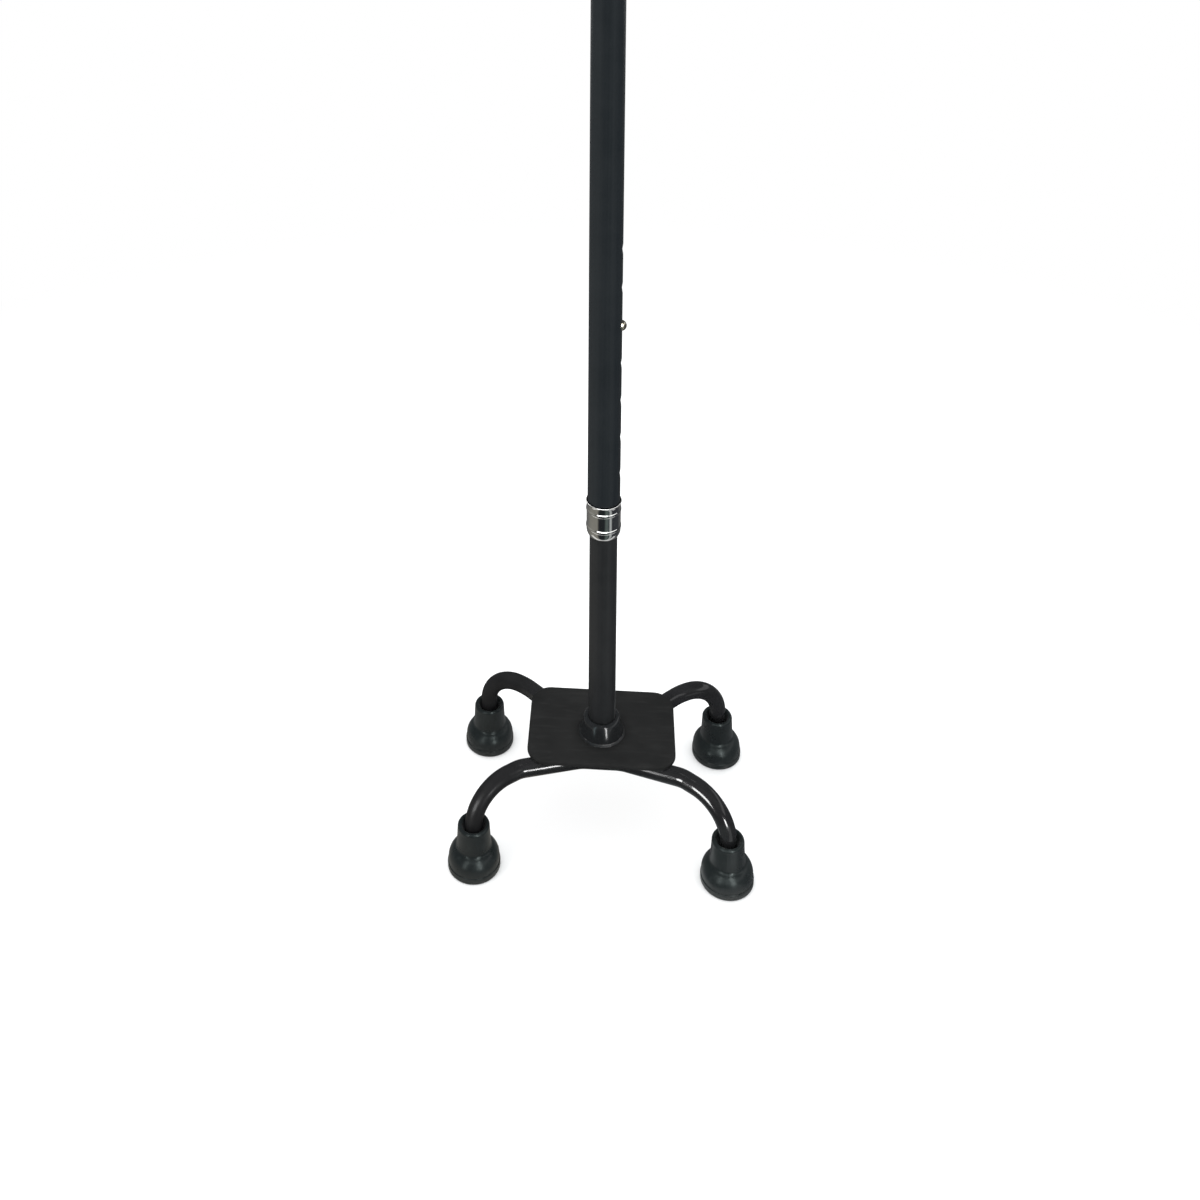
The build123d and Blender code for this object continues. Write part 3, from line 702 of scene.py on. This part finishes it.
# -------------------------------------------------------------------- plate
def build_plate():
    hx, hy, rc, yc, hy0 = 51.5, 36.5, 14.5, 0.0, SHAFT[1]

    def outline(inset):
        pts = []
        r = rc - inset
        for cx, cy, a0 in ((hx - rc, hy - rc, 0), (-(hx - rc), hy - rc, 90), (-(hx - rc), -(hy - rc), 180), (hx - rc, -(hy - rc), 270)):
            for k in range(13):
                t = math.radians(a0 + 90 * k / 12)
                pts.append((cx + r * math.cos(t), yc + cy + r * math.sin(t)))
        # even points on the straight sides
        out = []
        for i, p in enumerate(pts):
            out.append(p)
            q = pts[(i + 1) % len(pts)]
            d = math.hypot(q[0] - p[0], q[1] - p[1])
            if (i + 1) % 13 == 0:
                n = 12
                for k in range(1, n):
                    out.append((p[0] + (q[0] - p[0]) * k / n, p[1] + (q[1] - p[1]) * k / n))
        return out
    rings = []
    rt, rb = 1.4, 0.8
    for k in range(7):
        t = math.radians(90 * k / 6)
        rings.append((rt - rt * math.sin(t), PLATE_Z1 - rt + rt * math.cos(t)))
    for k in range(6):
        t = math.radians(90 * k / 5)
        rings.append((rb - rb * math.cos(t), PLATE_Z0 + rb - rb * math.sin(t)))
    verts, rows = [], []
    # flat top in three rings towards the bolt hole, then the edge, then the underside
    base = outline(rt)
    for s in (0.0, 0.33, 0.66, 0.9):
        row = []
        for x, y in base:
            d = math.hypot(x, y - hy0)
            hxr, hyr = x / d * 4.5, hy0 + (y - hy0) / d * 4.5
            verts.append((hxr + (x - hxr) * s, hyr + (y - hyr) * s, PLATE_Z1))
            row.append(len(verts) - 1)
        rows.append(row)
    for inset, z in rings:
        row = []
        for x, y in outline(inset):
            verts.append((x, y, z)); row.append(len(verts) - 1)
        rows.append(row)
    base = outline(rb)
    for s in (0.9, 0.5, 0.0):
        row = []
        for x, y in base:
            d = math.hypot(x, y - hy0)
            hxr, hyr = x / d * 4.5, hy0 + (y - hy0) / d * 4.5
            verts.append((hxr + (x - hxr) * s, hyr + (y - hyr) * s, PLATE_Z0))
            row.append(len(verts) - 1)
        rows.append(row)
    faces = []
    for i in range(len(rows)):
        a, b = rows[i], rows[(i + 1) % len(rows)]
        for j in range(len(a)):
            k = (j + 1) % len(a)
            faces.append((a[j], b[j], b[k], a[k]))
    return make("base_plate_paint", verts, faces, "base", ("base_plate",), (M_PLATE,), angle=40)


build_plate()

# ------------------------------------------------------- socket and its weld
top = PLATE_Z1 + 13.0
prof = [(LOW_RO + 0.01, PLATE_Z1), (15.5, PLATE_Z1)]
prof += [(15.5 - 2.3 * k / 8, PLATE_Z1 + 10.6 * k / 8) for k in range(1, 8)]
prof += arc_pts((13.2, top - 2.4), (12.252, top - 0.785), (10.53, top - 0.05), 14)
prof += [(10.3, top - 0.02), (LOW_RO + 0.5, top), (LOW_RO + 0.2, top - 0.1), (LOW_RO + 0.01, top - 0.5)]
v, f = lathe(prof, 128)
make("base_socket_paint", v, f, "base", ("base_socket",), (M_SOCKET,), at=SHAFT)


def weld_ring(t, r, h):
    if h < PLATE_Z1 + 0.01 or r < 15.24:
        return 0.0
    s = t * 64 / (2 * math.pi)
    ripple = abs(math.sin(math.pi * s)) ** 0.7
    return 0.16 * (ripple - 0.6) + 0.08 * noise.noise(Vector((math.cos(t) * 9, math.sin(t) * 9, h)))


wall = 15.5 - 2.3 * 1.3 / 10.6
prof = [(15.5, PLATE_Z1), (16.4, PLATE_Z1)] + arc_pts((16.32, PLATE_Z1 + 0.32), (15.82, PLATE_Z1 + 0.68), (wall, PLATE_Z1 + 1.3), 8)
v, f = lathe(prof, 640, bump=weld_ring)
make("socket_weld_bead", v, f, "base", ("socket_weld",), (M_WELD,), angle=60, at=SHAFT)


# weld beads under the plate, along both sides of each leg tube
def leg_bead(start, end, along, length, side, mirror):
    s = np.array(start[:2], float); e = np.array(end[:2], float)
    d = (e - s) / np.linalg.norm(e - s)
    nrm = np.array((-d[1], d[0])) * side
    verts, rows = [], []
    n = 64
    for i in range(n + 1):
        u = i / n
        taper = min(1.0, min(u, 1 - u) * 9 + 0.35)
        rip = abs(math.sin(math.pi * u * length / 1.7)) ** 0.7
        w = noise.noise(Vector((along + u * length, side * 7.0 + start[1], 3.0))) * 0.25
        p = s + d * (along + u * length)
        sec = [(2.3, LEG_R), (4.1 + 1.35 * taper + 0.15 * w, LEG_R), (4.3 + (1.1 + 0.18 * (rip - 0.5) + w * 0.4) * taper, LEG_R - 0.75 * taper),
               (4.65 + (0.42 + 0.18 * (rip - 0.5) + w * 0.4) * taper, LEG_R - 1.6 * taper), (4.82, LEG_R - 2.4 * taper), (3.95, 4.5), (2.3, LEG_R - 0.46)]
        row = []
        for x, z in sec:
            # keep the bead outside the tube
            rr = math.hypot(x, z)
            if rr < LEG_R:
                x, z = x * LEG_R / rr, z * LEG_R / rr
            q = p + nrm * x
            verts.append(((-q[0] if mirror else q[0]), q[1], LEG_Z + min(z, LEG_R)))
            row.append(len(verts) - 1)
        rows.append(row)
    faces = []
    m = len(rows[0])
    flip = (side > 0) != mirror
    for i in range(n):
        for j in range(m):
            k = (j + 1) % m
            q = (rows[i][j], rows[i][k], rows[i + 1][k], rows[i + 1][j])
            faces.append(q if flip else q[::-1])
    faces.append(tuple(rows[0]) if not flip else tuple(rows[0][::-1]))
    faces.append(tuple(rows[-1][::-1]) if not flip else tuple(rows[-1]))
    return verts, faces


V, F = [], []
for start, end, along, length in ((FRONT_PTS[4], FRONT_PTS[5], 12.0, 19.0), (REAR_PTS[4], REAR_PTS[5], 11.5, 14.0)):
    for side in (-1, 1):
        for mir in (False, True):
            v, f = leg_bead(start, end, along, length, side, mir)
            F += [tuple(i + len(V) for i in q) for q in f]
            V += v
make("leg_weld_beads", V, F, "base", ("leg_welds",), (M_LEG,), angle=60)

# --------------------------------------------------------------- base bolt
AF = 13.0
z1 = PLATE_Z0 - 1.8
z0 = z1 - 5.3


def hexr(t):
    return (AF / 2) / math.cos((t % (math.pi / 3)) - math.pi / 6)


N = 144
V, rows = [], []
for kind, z in (("hex", z1), ("hex", z0 + 1.6), ("cham", z0), ("flat", z0), ("dish", z0 + 0.15)):
    row = []
    for j in range(N):
        t = 2 * math.pi * j / N
        R = hexr(t)
        if kind == "hex":
            r, zz = R - (0.12 if abs(((t / (math.pi / 3)) % 1.0)) < 0.001 else 0.0), z
            if z != z1:
                zz = z0 + max(0.0, (R - AF / 2 * 0.97)) * 0.62 + 0.02
        elif kind == "cham":
            r, zz = AF / 2 * 0.955, z0
        elif kind == "flat":
            r, zz = AF / 2 * 0.62, z0
        else:
            r, zz = AF / 2 * 0.56, z
        V.append((r * math.cos(t), r * math.sin(t), zz)); row.append(len(V) - 1)
    rows.append(row)
F = []
for i in range(len(rows) - 1):
    for j in range(N):
        k = (j + 1) % N
        F.append((rows[i][j], rows[i + 1][j], rows[i + 1][k], rows[i][k]))
F.append(tuple(rows[-1][::-1]))
# bearing face and the shank with its thread
shank = []
for r in (6.2, 4.4):
    row = []
    for j in range(N):
        t = 2 * math.pi * j / N
        V.append((r * math.cos(t), r * math.sin(t), z1)); row.append(len(V) - 1)
    shank.append(row)
zz = z1
tz = []
while zz < z1 + 21.0:
    tz += [(3.98, zz + 0.15), (3.98, zz + 0.3), (3.35, zz + 0.85), (3.35, zz + 0.95)]
    zz += 1.25
tz = [(r, z) for r, z in tz if z < z1 + 21.4]
tz.append((3.2, z1 + 22.0))
for r, z in tz:
    row = []
    for j in range(N):
        t = 2 * math.pi * j / N
        V.append((r * math.cos(t), r * math.sin(t), z)); row.append(len(V) - 1)
    shank.append(row)
seq = [rows[0]] + shank
for i in range(len(seq) - 1):
    for j in range(N):
        k = (j + 1) % N
        F.append((seq[i][k], seq[i + 1][k], seq[i + 1][j], seq[i][j]))
F.append(tuple(seq[-1]))
make("base_bolt_hex", V, F, "base", ("base_bolt",), (M_ZINC,), angle=25, at=SHAFT)

# ------------------------------------------------------------- rubber tips
TR = 18.0


def tip_profile():
    p = [(0.0, 0.0)]
    sole = [(4.8, 0), (5.25, 1.45), (7.15, 1.45), (7.6, 0), (10.2, 0), (10.65, 1.45), (12.75, 1.45), (13.2, 0)]
    p += round_corners([(0, 0)] + sole + [(17.2, 0.0)], [0] + [0.25] * 8 + [0], 3, closed=False)[1:-1]
    p += arc_pts((17.0, 0.0), (17.72, 0.29), (18.0, 1.0), 5)
    p += [(18.0, 2.2), (18.0, 3.2)]
    p += arc_pts((18.0, 3.9), (17.93, 4.15), (17.68, 4.3), 3)
    p += arc_pts((17.62, 4.32), (17.5, 4.4), (17.48, 4.6), 2)
    p += [(17.5, 5.6), (17.5, 6.6)]
    p += arc_pts((17.48, 7.4), (16.05, 12.1), (12.8, 15.2), 14)
    p += arc_pts((12.72, 15.27), (12.05, 16.1), (11.77, 17.4), 6)
    p += [(11.62, 20.0), (11.45, 23.0), (11.28, 26.0), (11.12, 29.0)]
    p += arc_pts((11.0, 30.7), (10.66, 32.2), (9.75, 32.95), 8)
    p += arc_pts((9.5, 32.99), (8.55, 32.5), (7.95, 31.2), 7)
    p += [(7.7, 30.4), (7.1, 28.2), (6.5, 26.2), (LEG_R + 0.12, 24.6), (LEG_R + 0.03, 22.0), (LEG_R + 0.03, 6.0), (0.0, 6.0)]
    return p


def tip_bump(theta0):
    def f(t, r, h):
        # parting line of the mould: a fine raised flash on two sides, outside only
        if r < 10.6 or h < 0.6 or h > 32.4:
            return 0.0
        add = 0.0
        for q in (theta0, theta0 + math.pi):
            d = abs((t - q + math.pi) % (2 * math.pi) - math.pi) * r
            if d < 0.42:
                add += 0.10 * (1 - d / 0.42)
        # slow waviness of soft rubber
        add += 0.10 * noise.noise(Vector((math.cos(t) * 1.6, math.sin(t) * 1.6, h * 0.12 + theta0 * 7)))
        return min(add, 18.0 - r if r > 17.7 else add)
    return f


for i, (nm, (x, y)) in enumerate(TIPS.items()):
    v, f = lathe(tip_profile(), 256, origin=(x, y, 0), bump=tip_bump(0.35 + 1.1 * i))
    make(nm + "_rubber", v, f, "base", (nm,), (M_TIP,), angle=34)

# ------------------------------------------------------------- lock collar
CR, CB, C0, C1 = 11.7, 12.05, 225.2, 250.7
p = [(9.8, C0 + 0.5), (9.86, C0 + 0.15), (10.0, C0), (10.15, C0)]
p += arc_pts((10.3, C0 + 0.02), (11.28, C0 + 1.9), (CR, C0 + 4.4), 14)
p += [(CR, 230.6)]
p += arc_pts((CR, 230.8), (CB, 232.0), (CR, 233.2), 14)
p += [(CR, 233.6), (CR, 236.8), (CR, 240.0), (CR, 242.8)]
p += arc_pts((CR, 243.2), (CB, 244.4), (CR, 245.6), 14)
p += [(CR, 246.0)]
p += arc_pts((CR, 248.2), (CR + 0.12, 249.3), (CR + 0.45, C1 - 0.45), 8)
p += arc_pts((CR + 0.47, C1 - 0.36), (CR + 0.40, C1 - 0.09), (CR + 0.18, C1), 6)
p += arc_pts((CR + 0.14, C1), (CR + 0.02, C1 - 0.12), (CR - 0.02, C1 - 0.4), 4)
p += [(11.42, C1 - 2.0), (11.38, 245.2), (11.17, 244.7), (11.17, 240.0), (11.17, 235.6), (10.44, 230.4), (9.82, 230.4)]
v, f = lathe(p, 192)
make("lock_collar_chrome", v, f, "collar", ("lock_collar",), (M_CHROME,), angle=30, at=SHAFT)

# ------------------------------------------------------------- snap button
p = [(0.0, 5.6), (4.2, 5.6), (4.4, 5.75), (4.4, 6.45), (4.3, 6.6), (3.62, 6.6), (3.45, 6.75), (3.45, 9.0), (3.45, 11.5)]
rise = 14.0 - 11.5
R = (3.45 ** 2 + rise ** 2) / (2 * rise)
half = math.atan2(3.45, R - rise)
p += [(R * math.sin(half * (1 - k / 14)), 14.0 - R + R * math.cos(half * (1 - k / 14))) for k in range(1, 14)]
p += [(0.0, 14.0)]
v, f = lathe(p, 72)
v = [(z, y, -x + BTN_Z) for x, y, z in v]
make("snap_button_dome", v, f, "button", ("snap_button",), (M_BRASS,), angle=40, at=SHAFT)

# -------------------------------------------------------------- foam grip
def grip_profile():
    out = [(UP_RO + 0.02, GRIP_X0)]
    out += arc_pts((13.4, GRIP_X0), (15.0, GRIP_X0 + 0.6), (15.4, GRIP_X0 + 2.4), 7)
    L0, L1 = GRIP_X0 + 2.4, HANDLE_END - 2.4
    for k in range(1, 60):
        u = k / 60
        out.append((15.4 + 0.8 * math.sin(math.pi * u) ** 1.6, L0 + (L1 - L0) * u))
    out += arc_pts((15.4, L1), (15.0, HANDLE_END - 0.6), (13.4, HANDLE_END), 7)
    out += [(UP_RO + 0.02, HANDLE_END)]
    return out


def foam_bump(t, r, h):
    if r < 13.0:
        return 0.0
    q = Vector((math.cos(t) * 1.4, math.sin(t) * 1.4, h * 0.045))
    fine = Vector((math.cos(t) * r * 0.55, math.sin(t) * r * 0.55, h * 0.55))
    # palm pressed slightly flat on top and squeezed at the fingers below
    press = -0.32 * max(0.0, math.cos(t - math.pi)) ** 6 * math.exp(-((h - 36) / 34) ** 2)
    fingers = -0.16 * max(0.0, math.cos(t)) ** 3 * (0.5 + 0.5 * math.cos((h - 8) * 2 * math.pi / 21.0)) * math.exp(-((h - 38) / 44) ** 4)
    return 0.22 * noise.noise(q) + 0.05 * noise.noise(fine) + press + fingers - 0.12


v, f = lathe(grip_profile(), 160, origin=(0, 0, GRIP_Z), axis="x", bump=foam_bump)
make("handle_grip_foam", v, f, "upper_shaft", ("handle_grip",), (M_FOAM,), angle=50, at=SHAFT)

# -------------------------------------------------------------- end plug
E = HANDLE_END
p = [(0.0, E - 14.0), (9.1, E - 14.0), (9.68, E - 13.2), (9.68, E + 0.02), (13.0, E + 0.02)]
p += arc_pts((13.2, E + 0.25), (12.3, E + 2.4), (10.2, E + 3.6), 8)
p += arc_pts((9.9, E + 3.72), (9.55, E + 3.76), (9.3, E + 3.6), 4)      # rim of a shallow dish
p += [(8.9, E + 3.25), (8.4, E + 3.15)]
p += [(8.2 * (1 - k / 8), E + 3.15 + 1.6 * math.sin(math.pi / 2 * k / 8)) for k in range(1, 8)]
p += [(0.0, E + 4.75)]
v, f = lathe(p, 128, origin=(0, 0, GRIP_Z), axis="x")
make("handle_end_plug_moulded", v, f, "upper_shaft", ("handle_end_plug",), (M_PLUG,), angle=35, at=SHAFT)

# ------------------------------------------------------ floor, light, camera
sc = bpy.context.scene


def stage_plane(name, corners, mat, z=0.0):
    me = bpy.data.meshes.new(name)
    me.from_pydata(corners, [], [tuple(range(len(corners)))])
    me.materials.append(mat)
    ob = bpy.data.objects.new(name, me)
    sc.collection.objects.link(ob)
    return ob


def floor_material():
    """Pale floor. To glossy rays it glows instead as a painted room: warm grey on the left, dark in front with one
    light band, dark on the right. To the camera it glows white far out, and close under the base as painted light over
    the plate's shadow.
    """
    m = bpy.data.materials.new("studio_floor")
    m.use_nodes = True
    m.cycles.emission_sampling = "NONE"
    t = m.node_tree
    t.nodes.clear()
    N, L = t.nodes.new, t.links.new
    out = N("ShaderNodeOutputMaterial")
    dif = N("ShaderNodeBsdfDiffuse")
    dif.inputs["Color"].default_value = (0.90, 0.90, 0.895, 1)
    lp, em, mx = N("ShaderNodeLightPath"), N("ShaderNodeEmission"), N("ShaderNodeMixShader")
    tc, sx = N("ShaderNodeTexCoord"), N("ShaderNodeSeparateXYZ")
    L(tc.outputs["Object"], sx.inputs[0])
    neg = N("ShaderNodeMath"); neg.operation = "MULTIPLY"; neg.inputs[1].default_value = -1
    L(sx.outputs["Y"], neg.inputs[0])
    at = N("ShaderNodeMath"); at.operation = "ARCTAN2"
    L(sx.outputs["X"], at.inputs[0]); L(neg.outputs[0], at.inputs[1])
    mr = N("ShaderNodeMapRange")
    mr.inputs["From Min"].default_value = -math.pi; mr.inputs["From Max"].default_value = math.pi
    L(at.outputs[0], mr.inputs["Value"])
    cr = N("ShaderNodeValToRGB")
    # position = 0.5 + azimuth / 360, azimuth 0 towards the camera, + to the right
    stops = [(0.0, (0.22, 0.22, 0.22)), (0.12, (0.14, 0.14, 0.14)), (0.25, (0.24, 0.232, 0.205)), (0.385, (0.25, 0.24, 0.212)), (0.41, (0.05, 0.05, 0.05)),
             (0.43, (0.020, 0.022, 0.024)), (0.515, (0.018, 0.022, 0.024)), (0.545, (0.10, 0.125, 0.115)), (0.585, (0.10, 0.12, 0.12)), (0.603, (0.025, 0.032, 0.034)),
             (0.618, (0.46, 0.48, 0.48)), (0.643, (0.44, 0.46, 0.46)), (0.662, (0.035, 0.038, 0.044)), (0.80, (0.045, 0.048, 0.055)), (0.90, (0.14, 0.14, 0.14)), (1.0, (0.22, 0.22, 0.22))]
    while len(cr.color_ramp.elements) < len(stops):
        cr.color_ramp.elements.new(0.5)
    for e, (pos, c) in zip(cr.color_ramp.elements, stops):
        e.position = pos; e.color = (*c, 1)
    L(mr.outputs[0], cr.inputs["Fac"])
    L(cr.outputs["Color"], em.inputs["Color"])
    # painted reflection: glossy rays see the floor glow with this room map and not its pale diffuse colour
    L(lp.outputs["Is Glossy Ray"], mx.inputs["Fac"])
    # seen straight on, the floor runs out into the white sweep behind it; close under the base it also glows white to
    # the camera, painted light over the shadow of the plate
    ln = N("ShaderNodeVectorMath"); ln.operation = "LENGTH"
    L(tc.outputs["Object"], ln.inputs[0])
    fade = N("ShaderNodeMapRange"); fade.interpolation_type = "SMOOTHSTEP"
    fade.inputs["From Min"].default_value = 0.35; fade.inputs["From Max"].default_value = 1.1
    L(ln.outputs["Value"], fade.inputs["Value"])
    # painted light: up to 0.8 white glow within 45 mm of the centre, fading out by 95 mm, covers the plate's shadow
    painted_light_under_base = N("ShaderNodeMapRange"); painted_light_under_base.interpolation_type = "SMOOTHSTEP"
    painted_light_under_base.inputs["From Min"].default_value = 0.045; painted_light_under_base.inputs["From Max"].default_value = 0.095
    painted_light_under_base.inputs["To Min"].default_value = 0.8; painted_light_under_base.inputs["To Max"].default_value = 0.0
    L(ln.outputs["Value"], painted_light_under_base.inputs["Value"])
    both = N("ShaderNodeMath"); both.operation = "MAXIMUM"
    L(fade.outputs[0], both.inputs[0]); L(painted_light_under_base.outputs[0], both.inputs[1])
    cam_only = N("ShaderNodeMath"); cam_only.operation = "MULTIPLY"
    L(both.outputs[0], cam_only.inputs[0]); L(lp.outputs["Is Camera Ray"], cam_only.inputs[1])
    white, sweep_and_painted_light = N("ShaderNodeEmission"), N("ShaderNodeMixShader")
    white.inputs["Color"].default_value = (1, 1, 1, 1)
    L(cam_only.outputs[0], sweep_and_painted_light.inputs["Fac"])
    L(dif.outputs[0], sweep_and_painted_light.inputs[1]); L(white.outputs[0], sweep_and_painted_light.inputs[2])
    L(sweep_and_painted_light.outputs[0], mx.inputs[1]); L(em.outputs[0], mx.inputs[2])
    L(mx.outputs[0], out.inputs["Surface"])
    return m


S = 6.0
floor = stage_plane("studio_floor", [(-S, -S, 0), (S, -S, 0), (S, S, 0), (-S, S, 0)], floor_material())

world = bpy.data.worlds.new("studio")
sc.world = world
world.use_nodes = True
t = world.node_tree
t.nodes.clear()
out = t.nodes.new("ShaderNodeOutputWorld")
lp = t.nodes.new("ShaderNodeLightPath")


def bg(color, strength):
    n = t.nodes.new("ShaderNodeBackground")
    n.inputs["Color"].default_value = (*color, 1)
    n.inputs["Strength"].default_value = strength
    return n


cam_bg, dif_bg, glo_bg = bg((1, 1, 1), 1.0), bg((0.96, 0.98, 1.0), 0.90), bg((0.9, 0.95, 1.0), 0.06)
m1, m2 = t.nodes.new("ShaderNodeMixShader"), t.nodes.new("ShaderNodeMixShader")
t.links.new(lp.outputs["Is Glossy Ray"], m1.inputs["Fac"])
t.links.new(dif_bg.outputs[0], m1.inputs[1]); t.links.new(glo_bg.outputs[0], m1.inputs[2])
t.links.new(lp.outputs["Is Camera Ray"], m2.inputs["Fac"])
t.links.new(m1.outputs[0], m2.inputs[1]); t.links.new(cam_bg.outputs[0], m2.inputs[2])
t.links.new(m2.outputs[0], out.inputs["Surface"])
world.cycles.sampling_method = "NONE"


def area(name, loc, target, size, size_y, power, color=(1, 1, 1), glossy=False, diffuse=True):
    """Soft light. Either it lights matt surfaces, or it is only seen as a reflection."""
    ld = bpy.data.lights.new(name, "AREA")
    ld.shape = "RECTANGLE"
    ld.size, ld.size_y = size, size_y
    ld.energy = power
    ld.color = color
    ob = bpy.data.objects.new(name, ld)
    sc.collection.objects.link(ob)
    ob.location = loc
    d = Vector(target) - Vector(loc)
    ob.rotation_euler = d.to_track_quat("-Z", "Y").to_euler()
    ob.visible_glossy = glossy
    ob.visible_diffuse = diffuse
    ob.visible_camera = False
    return ob


def reflector(name, az, elev, dist, width_deg, height_deg, radiance, color=(1, 1, 1), z=0.10):
    """A glowing card seen only in reflections, placed by azimuth (0 towards the camera, + right) and elevation."""
    a, e = math.radians(az), math.radians(elev)
    loc = (dist * math.sin(a) * math.cos(e), -dist * math.cos(a) * math.cos(e), z + dist * math.sin(e))
    w, h = 2 * dist * math.tan(math.radians(width_deg / 2)), 2 * dist * math.tan(math.radians(height_deg / 2))
    return area(name, loc, (0, 0, z), w, h, radiance * math.pi * w * h, color, glossy=True, diffuse=False)


def only_for(light, names):
    """Show a reflector only in the named pieces, the way a flag on set would."""
    col = bpy.data.collections.new(light.name + "_receivers")
    for n in names:
        col.objects.link(bpy.data.objects[n])
    light.light_linking.receiver_collection = col


TIP_OBS = [n + "_rubber" for n in TIPS]
def shadows_from(light, names):
    col = bpy.data.collections.new(light.name + "_blockers")
    for n in names:
        col.objects.link(bpy.data.objects[n])
    light.light_linking.blocker_collection = col


# the overhead silk leaves only contact shadows on the floor
shadows_from(area("overhead", (0.0, 0.2, 3.0), (0, 0, 0), 4.2, 4.2, 90), TIP_OBS + ["front_leg_tube_paint", "rear_leg_tube_paint"])
key = area("key_left", (-1.9, -1.2, 1.5), (0, 0, 0.35), 1.3, 1.6, 14, (1.0, 0.985, 0.96))
flag = bpy.data.collections.new("key_left_flag")
for n in ("front_left_tip_rubber", "rear_left_tip_rubber"):
    flag.objects.link(bpy.data.objects[n])
for co in flag.collection_objects:
    co.light_linking.link_state = "EXCLUDE"
key.light_linking.receiver_collection = flag
area("fill_right", (1.9, -1.3, 1.4), (0, 0, 0.35), 1.2, 1.4, 6, (0.92, 0.96, 1.0))
COLLAR = ["lock_collar_chrome"]
only_for(reflector("collar_front", -7, 31, 2.2, 64, 54, 6.0, z=0.24), COLLAR + ["snap_button_dome"])
only_for(reflector("collar_left", -105, 30, 2.2, 100, 70, 0.25, (1.0, 0.97, 0.88), z=0.24), COLLAR)
only_for(reflector("collar_right", 60, 24, 2.2, 62, 40, 1.6, z=0.24), COLLAR)
only_for(reflector("collar_top", 0, 90, 1.6, 104, 104, 1.3, z=0.24), COLLAR)
only_for(reflector("collar_under", 0, -80, 0.11, 100, 26, 0.6, z=0.225), COLLAR)
only_for(reflector("collar_back_left", -158, 22, 2.2, 13, 70, 3.0, z=0.24), COLLAR)
only_for(reflector("collar_back_right", 166, 22, 2.2, 6, 70, 2.0, z=0.24), COLLAR)
only_for(reflector("tip_strip_right", 26, 24, 1.8, 5, 70, 12.0, (0.88, 1.0, 0.98)), TIP_OBS)
only_for(reflector("tip_strip_left", -34, 26, 1.8, 9, 60, 2.6, (0.88, 1.0, 0.98)), TIP_OBS)
only_for(reflector("tip_front", -8, 30, 1.8, 60, 40, 0.5, (0.88, 1.0, 0.98)), ["front_right_tip_rubber", "rear_right_tip_rubber"])
only_for(reflector("leg_low_right", 27.4, 2.5, 1.5, 11, 13, 22.0), ["front_leg_tube_paint"])
only_for(reflector("leg_low_left", -40.5, 8.0, 1.5, 29, 20, 16.0), ["front_leg_tube_paint"])
only_for(reflector("leg_sheen", 0, 50, 2.2, 120, 40, 0.07), ["rear_leg_tube_paint", "front_leg_tube_paint"])
only_for(reflector("tube_left", -62, 10, 2.2, 60, 60, 0.10, (1.0, 1.0, 0.98), z=0.4), ["upper_tube_shell"])
only_for(reflector("tube_slit", 40, 12, 2.2, 10, 80, 0.35, (0.8, 1.0, 1.1), z=0.4), ["upper_tube_shell"])
only_for(reflector("tube_low", 62, 6, 2.2, 50, 60, 0.9, (0.98, 1.0, 1.0), z=0.3), ["lower_tube_shell"])
reflector("side_right", 95, 32, 2.0, 80, 16, 0.6)
SHAFT_OBS = ["upper_tube_shell", "lower_tube_shell", "handle_grip_foam", "handle_end_plug_moulded"]
only_for(reflector("back_strip_left", -138, 4, 2.2, 12, 70, 1.4, z=0.45), SHAFT_OBS)
only_for(reflector("back_strip_right", 142, 4, 2.2, 12, 70, 1.4, z=0.45), SHAFT_OBS)

# upright strips close to the socket, mirrored only in its paint
for nm, az, d, w, rad, c in (("socket_strip", 25, 0.17, 0.015, 14.0, (1, 1, 1)), ("socket_strip_left", -38, 0.19, 0.03, 0.9, (0.7, 0.95, 1.0))):
    a_ = math.radians(az)
    zc, hh = 0.177, 0.35
    ob = area(nm, (d * math.sin(a_), SHAFT[1] * MM - d * math.cos(a_), zc), (0, SHAFT[1] * MM, zc), w, hh, rad * math.pi * w * hh, c, glossy=True, diffuse=False)
    only_for(ob, ["base_socket_paint", "socket_weld_bead"])

# camera
C = (7.802269560378906, -837.1106344142636, 794.4682280121717)
r_ = Vector((0.9967597016985522, 0.08014324097096345, -0.006867168010429332))
u_ = Vector((-0.011518245709737675, 0.2267044223002425, 0.9738954948685632))
d_ = Vector((-0.07960795868243004, 0.9706606852222787, -0.22689294188721054))
F_PX, CX, CY, PX = 1374.8648715325714, 511.3612102032047, -3.4196422234007215, 1200.0
cd = bpy.data.cameras.new("camera")
cam = bpy.data.objects.new("camera", cd)
sc.collection.objects.link(cam)
cd.sensor_fit = "HORIZONTAL"
cd.sensor_width = 36.0
cd.lens = F_PX / PX * 36.0
cd.clip_start, cd.clip_end = 0.01, 50
m = Matrix.Identity(4)
for i in range(3):
    m[i][0], m[i][1], m[i][2], m[i][3] = r_[i], u_[i], -d_[i], C[i] * MM
cam.matrix_world = m
sc.camera = cam


def shift_only_here(channel, value):
    """The lens is shifted in the main view alone: once the camera is carried elsewhere the shift goes back to zero."""
    setattr(cd, channel, value)
    drv = cd.driver_add(channel).driver
    drv.type = "SCRIPTED"
    for nm, axis in (("px", "LOC_X"), ("pz", "LOC_Z")):
        var = drv.variables.new()
        var.name, var.type = nm, "TRANSFORMS"
        var.targets[0].id = cam
        var.targets[0].transform_type = axis
        var.targets[0].transform_space = "WORLD_SPACE"
    drv.expression = f"{value:.9f} if abs(px - {C[0] * MM:.6f}) + abs(pz - {C[2] * MM:.6f}) < 0.002 else 0.0"


shift_only_here("shift_x", (PX / 2 - CX) / PX)
shift_only_here("shift_y", -(PX / 2 - CY) / PX)

sc.view_settings.view_transform = "Standard"
sc.view_settings.look = "None"
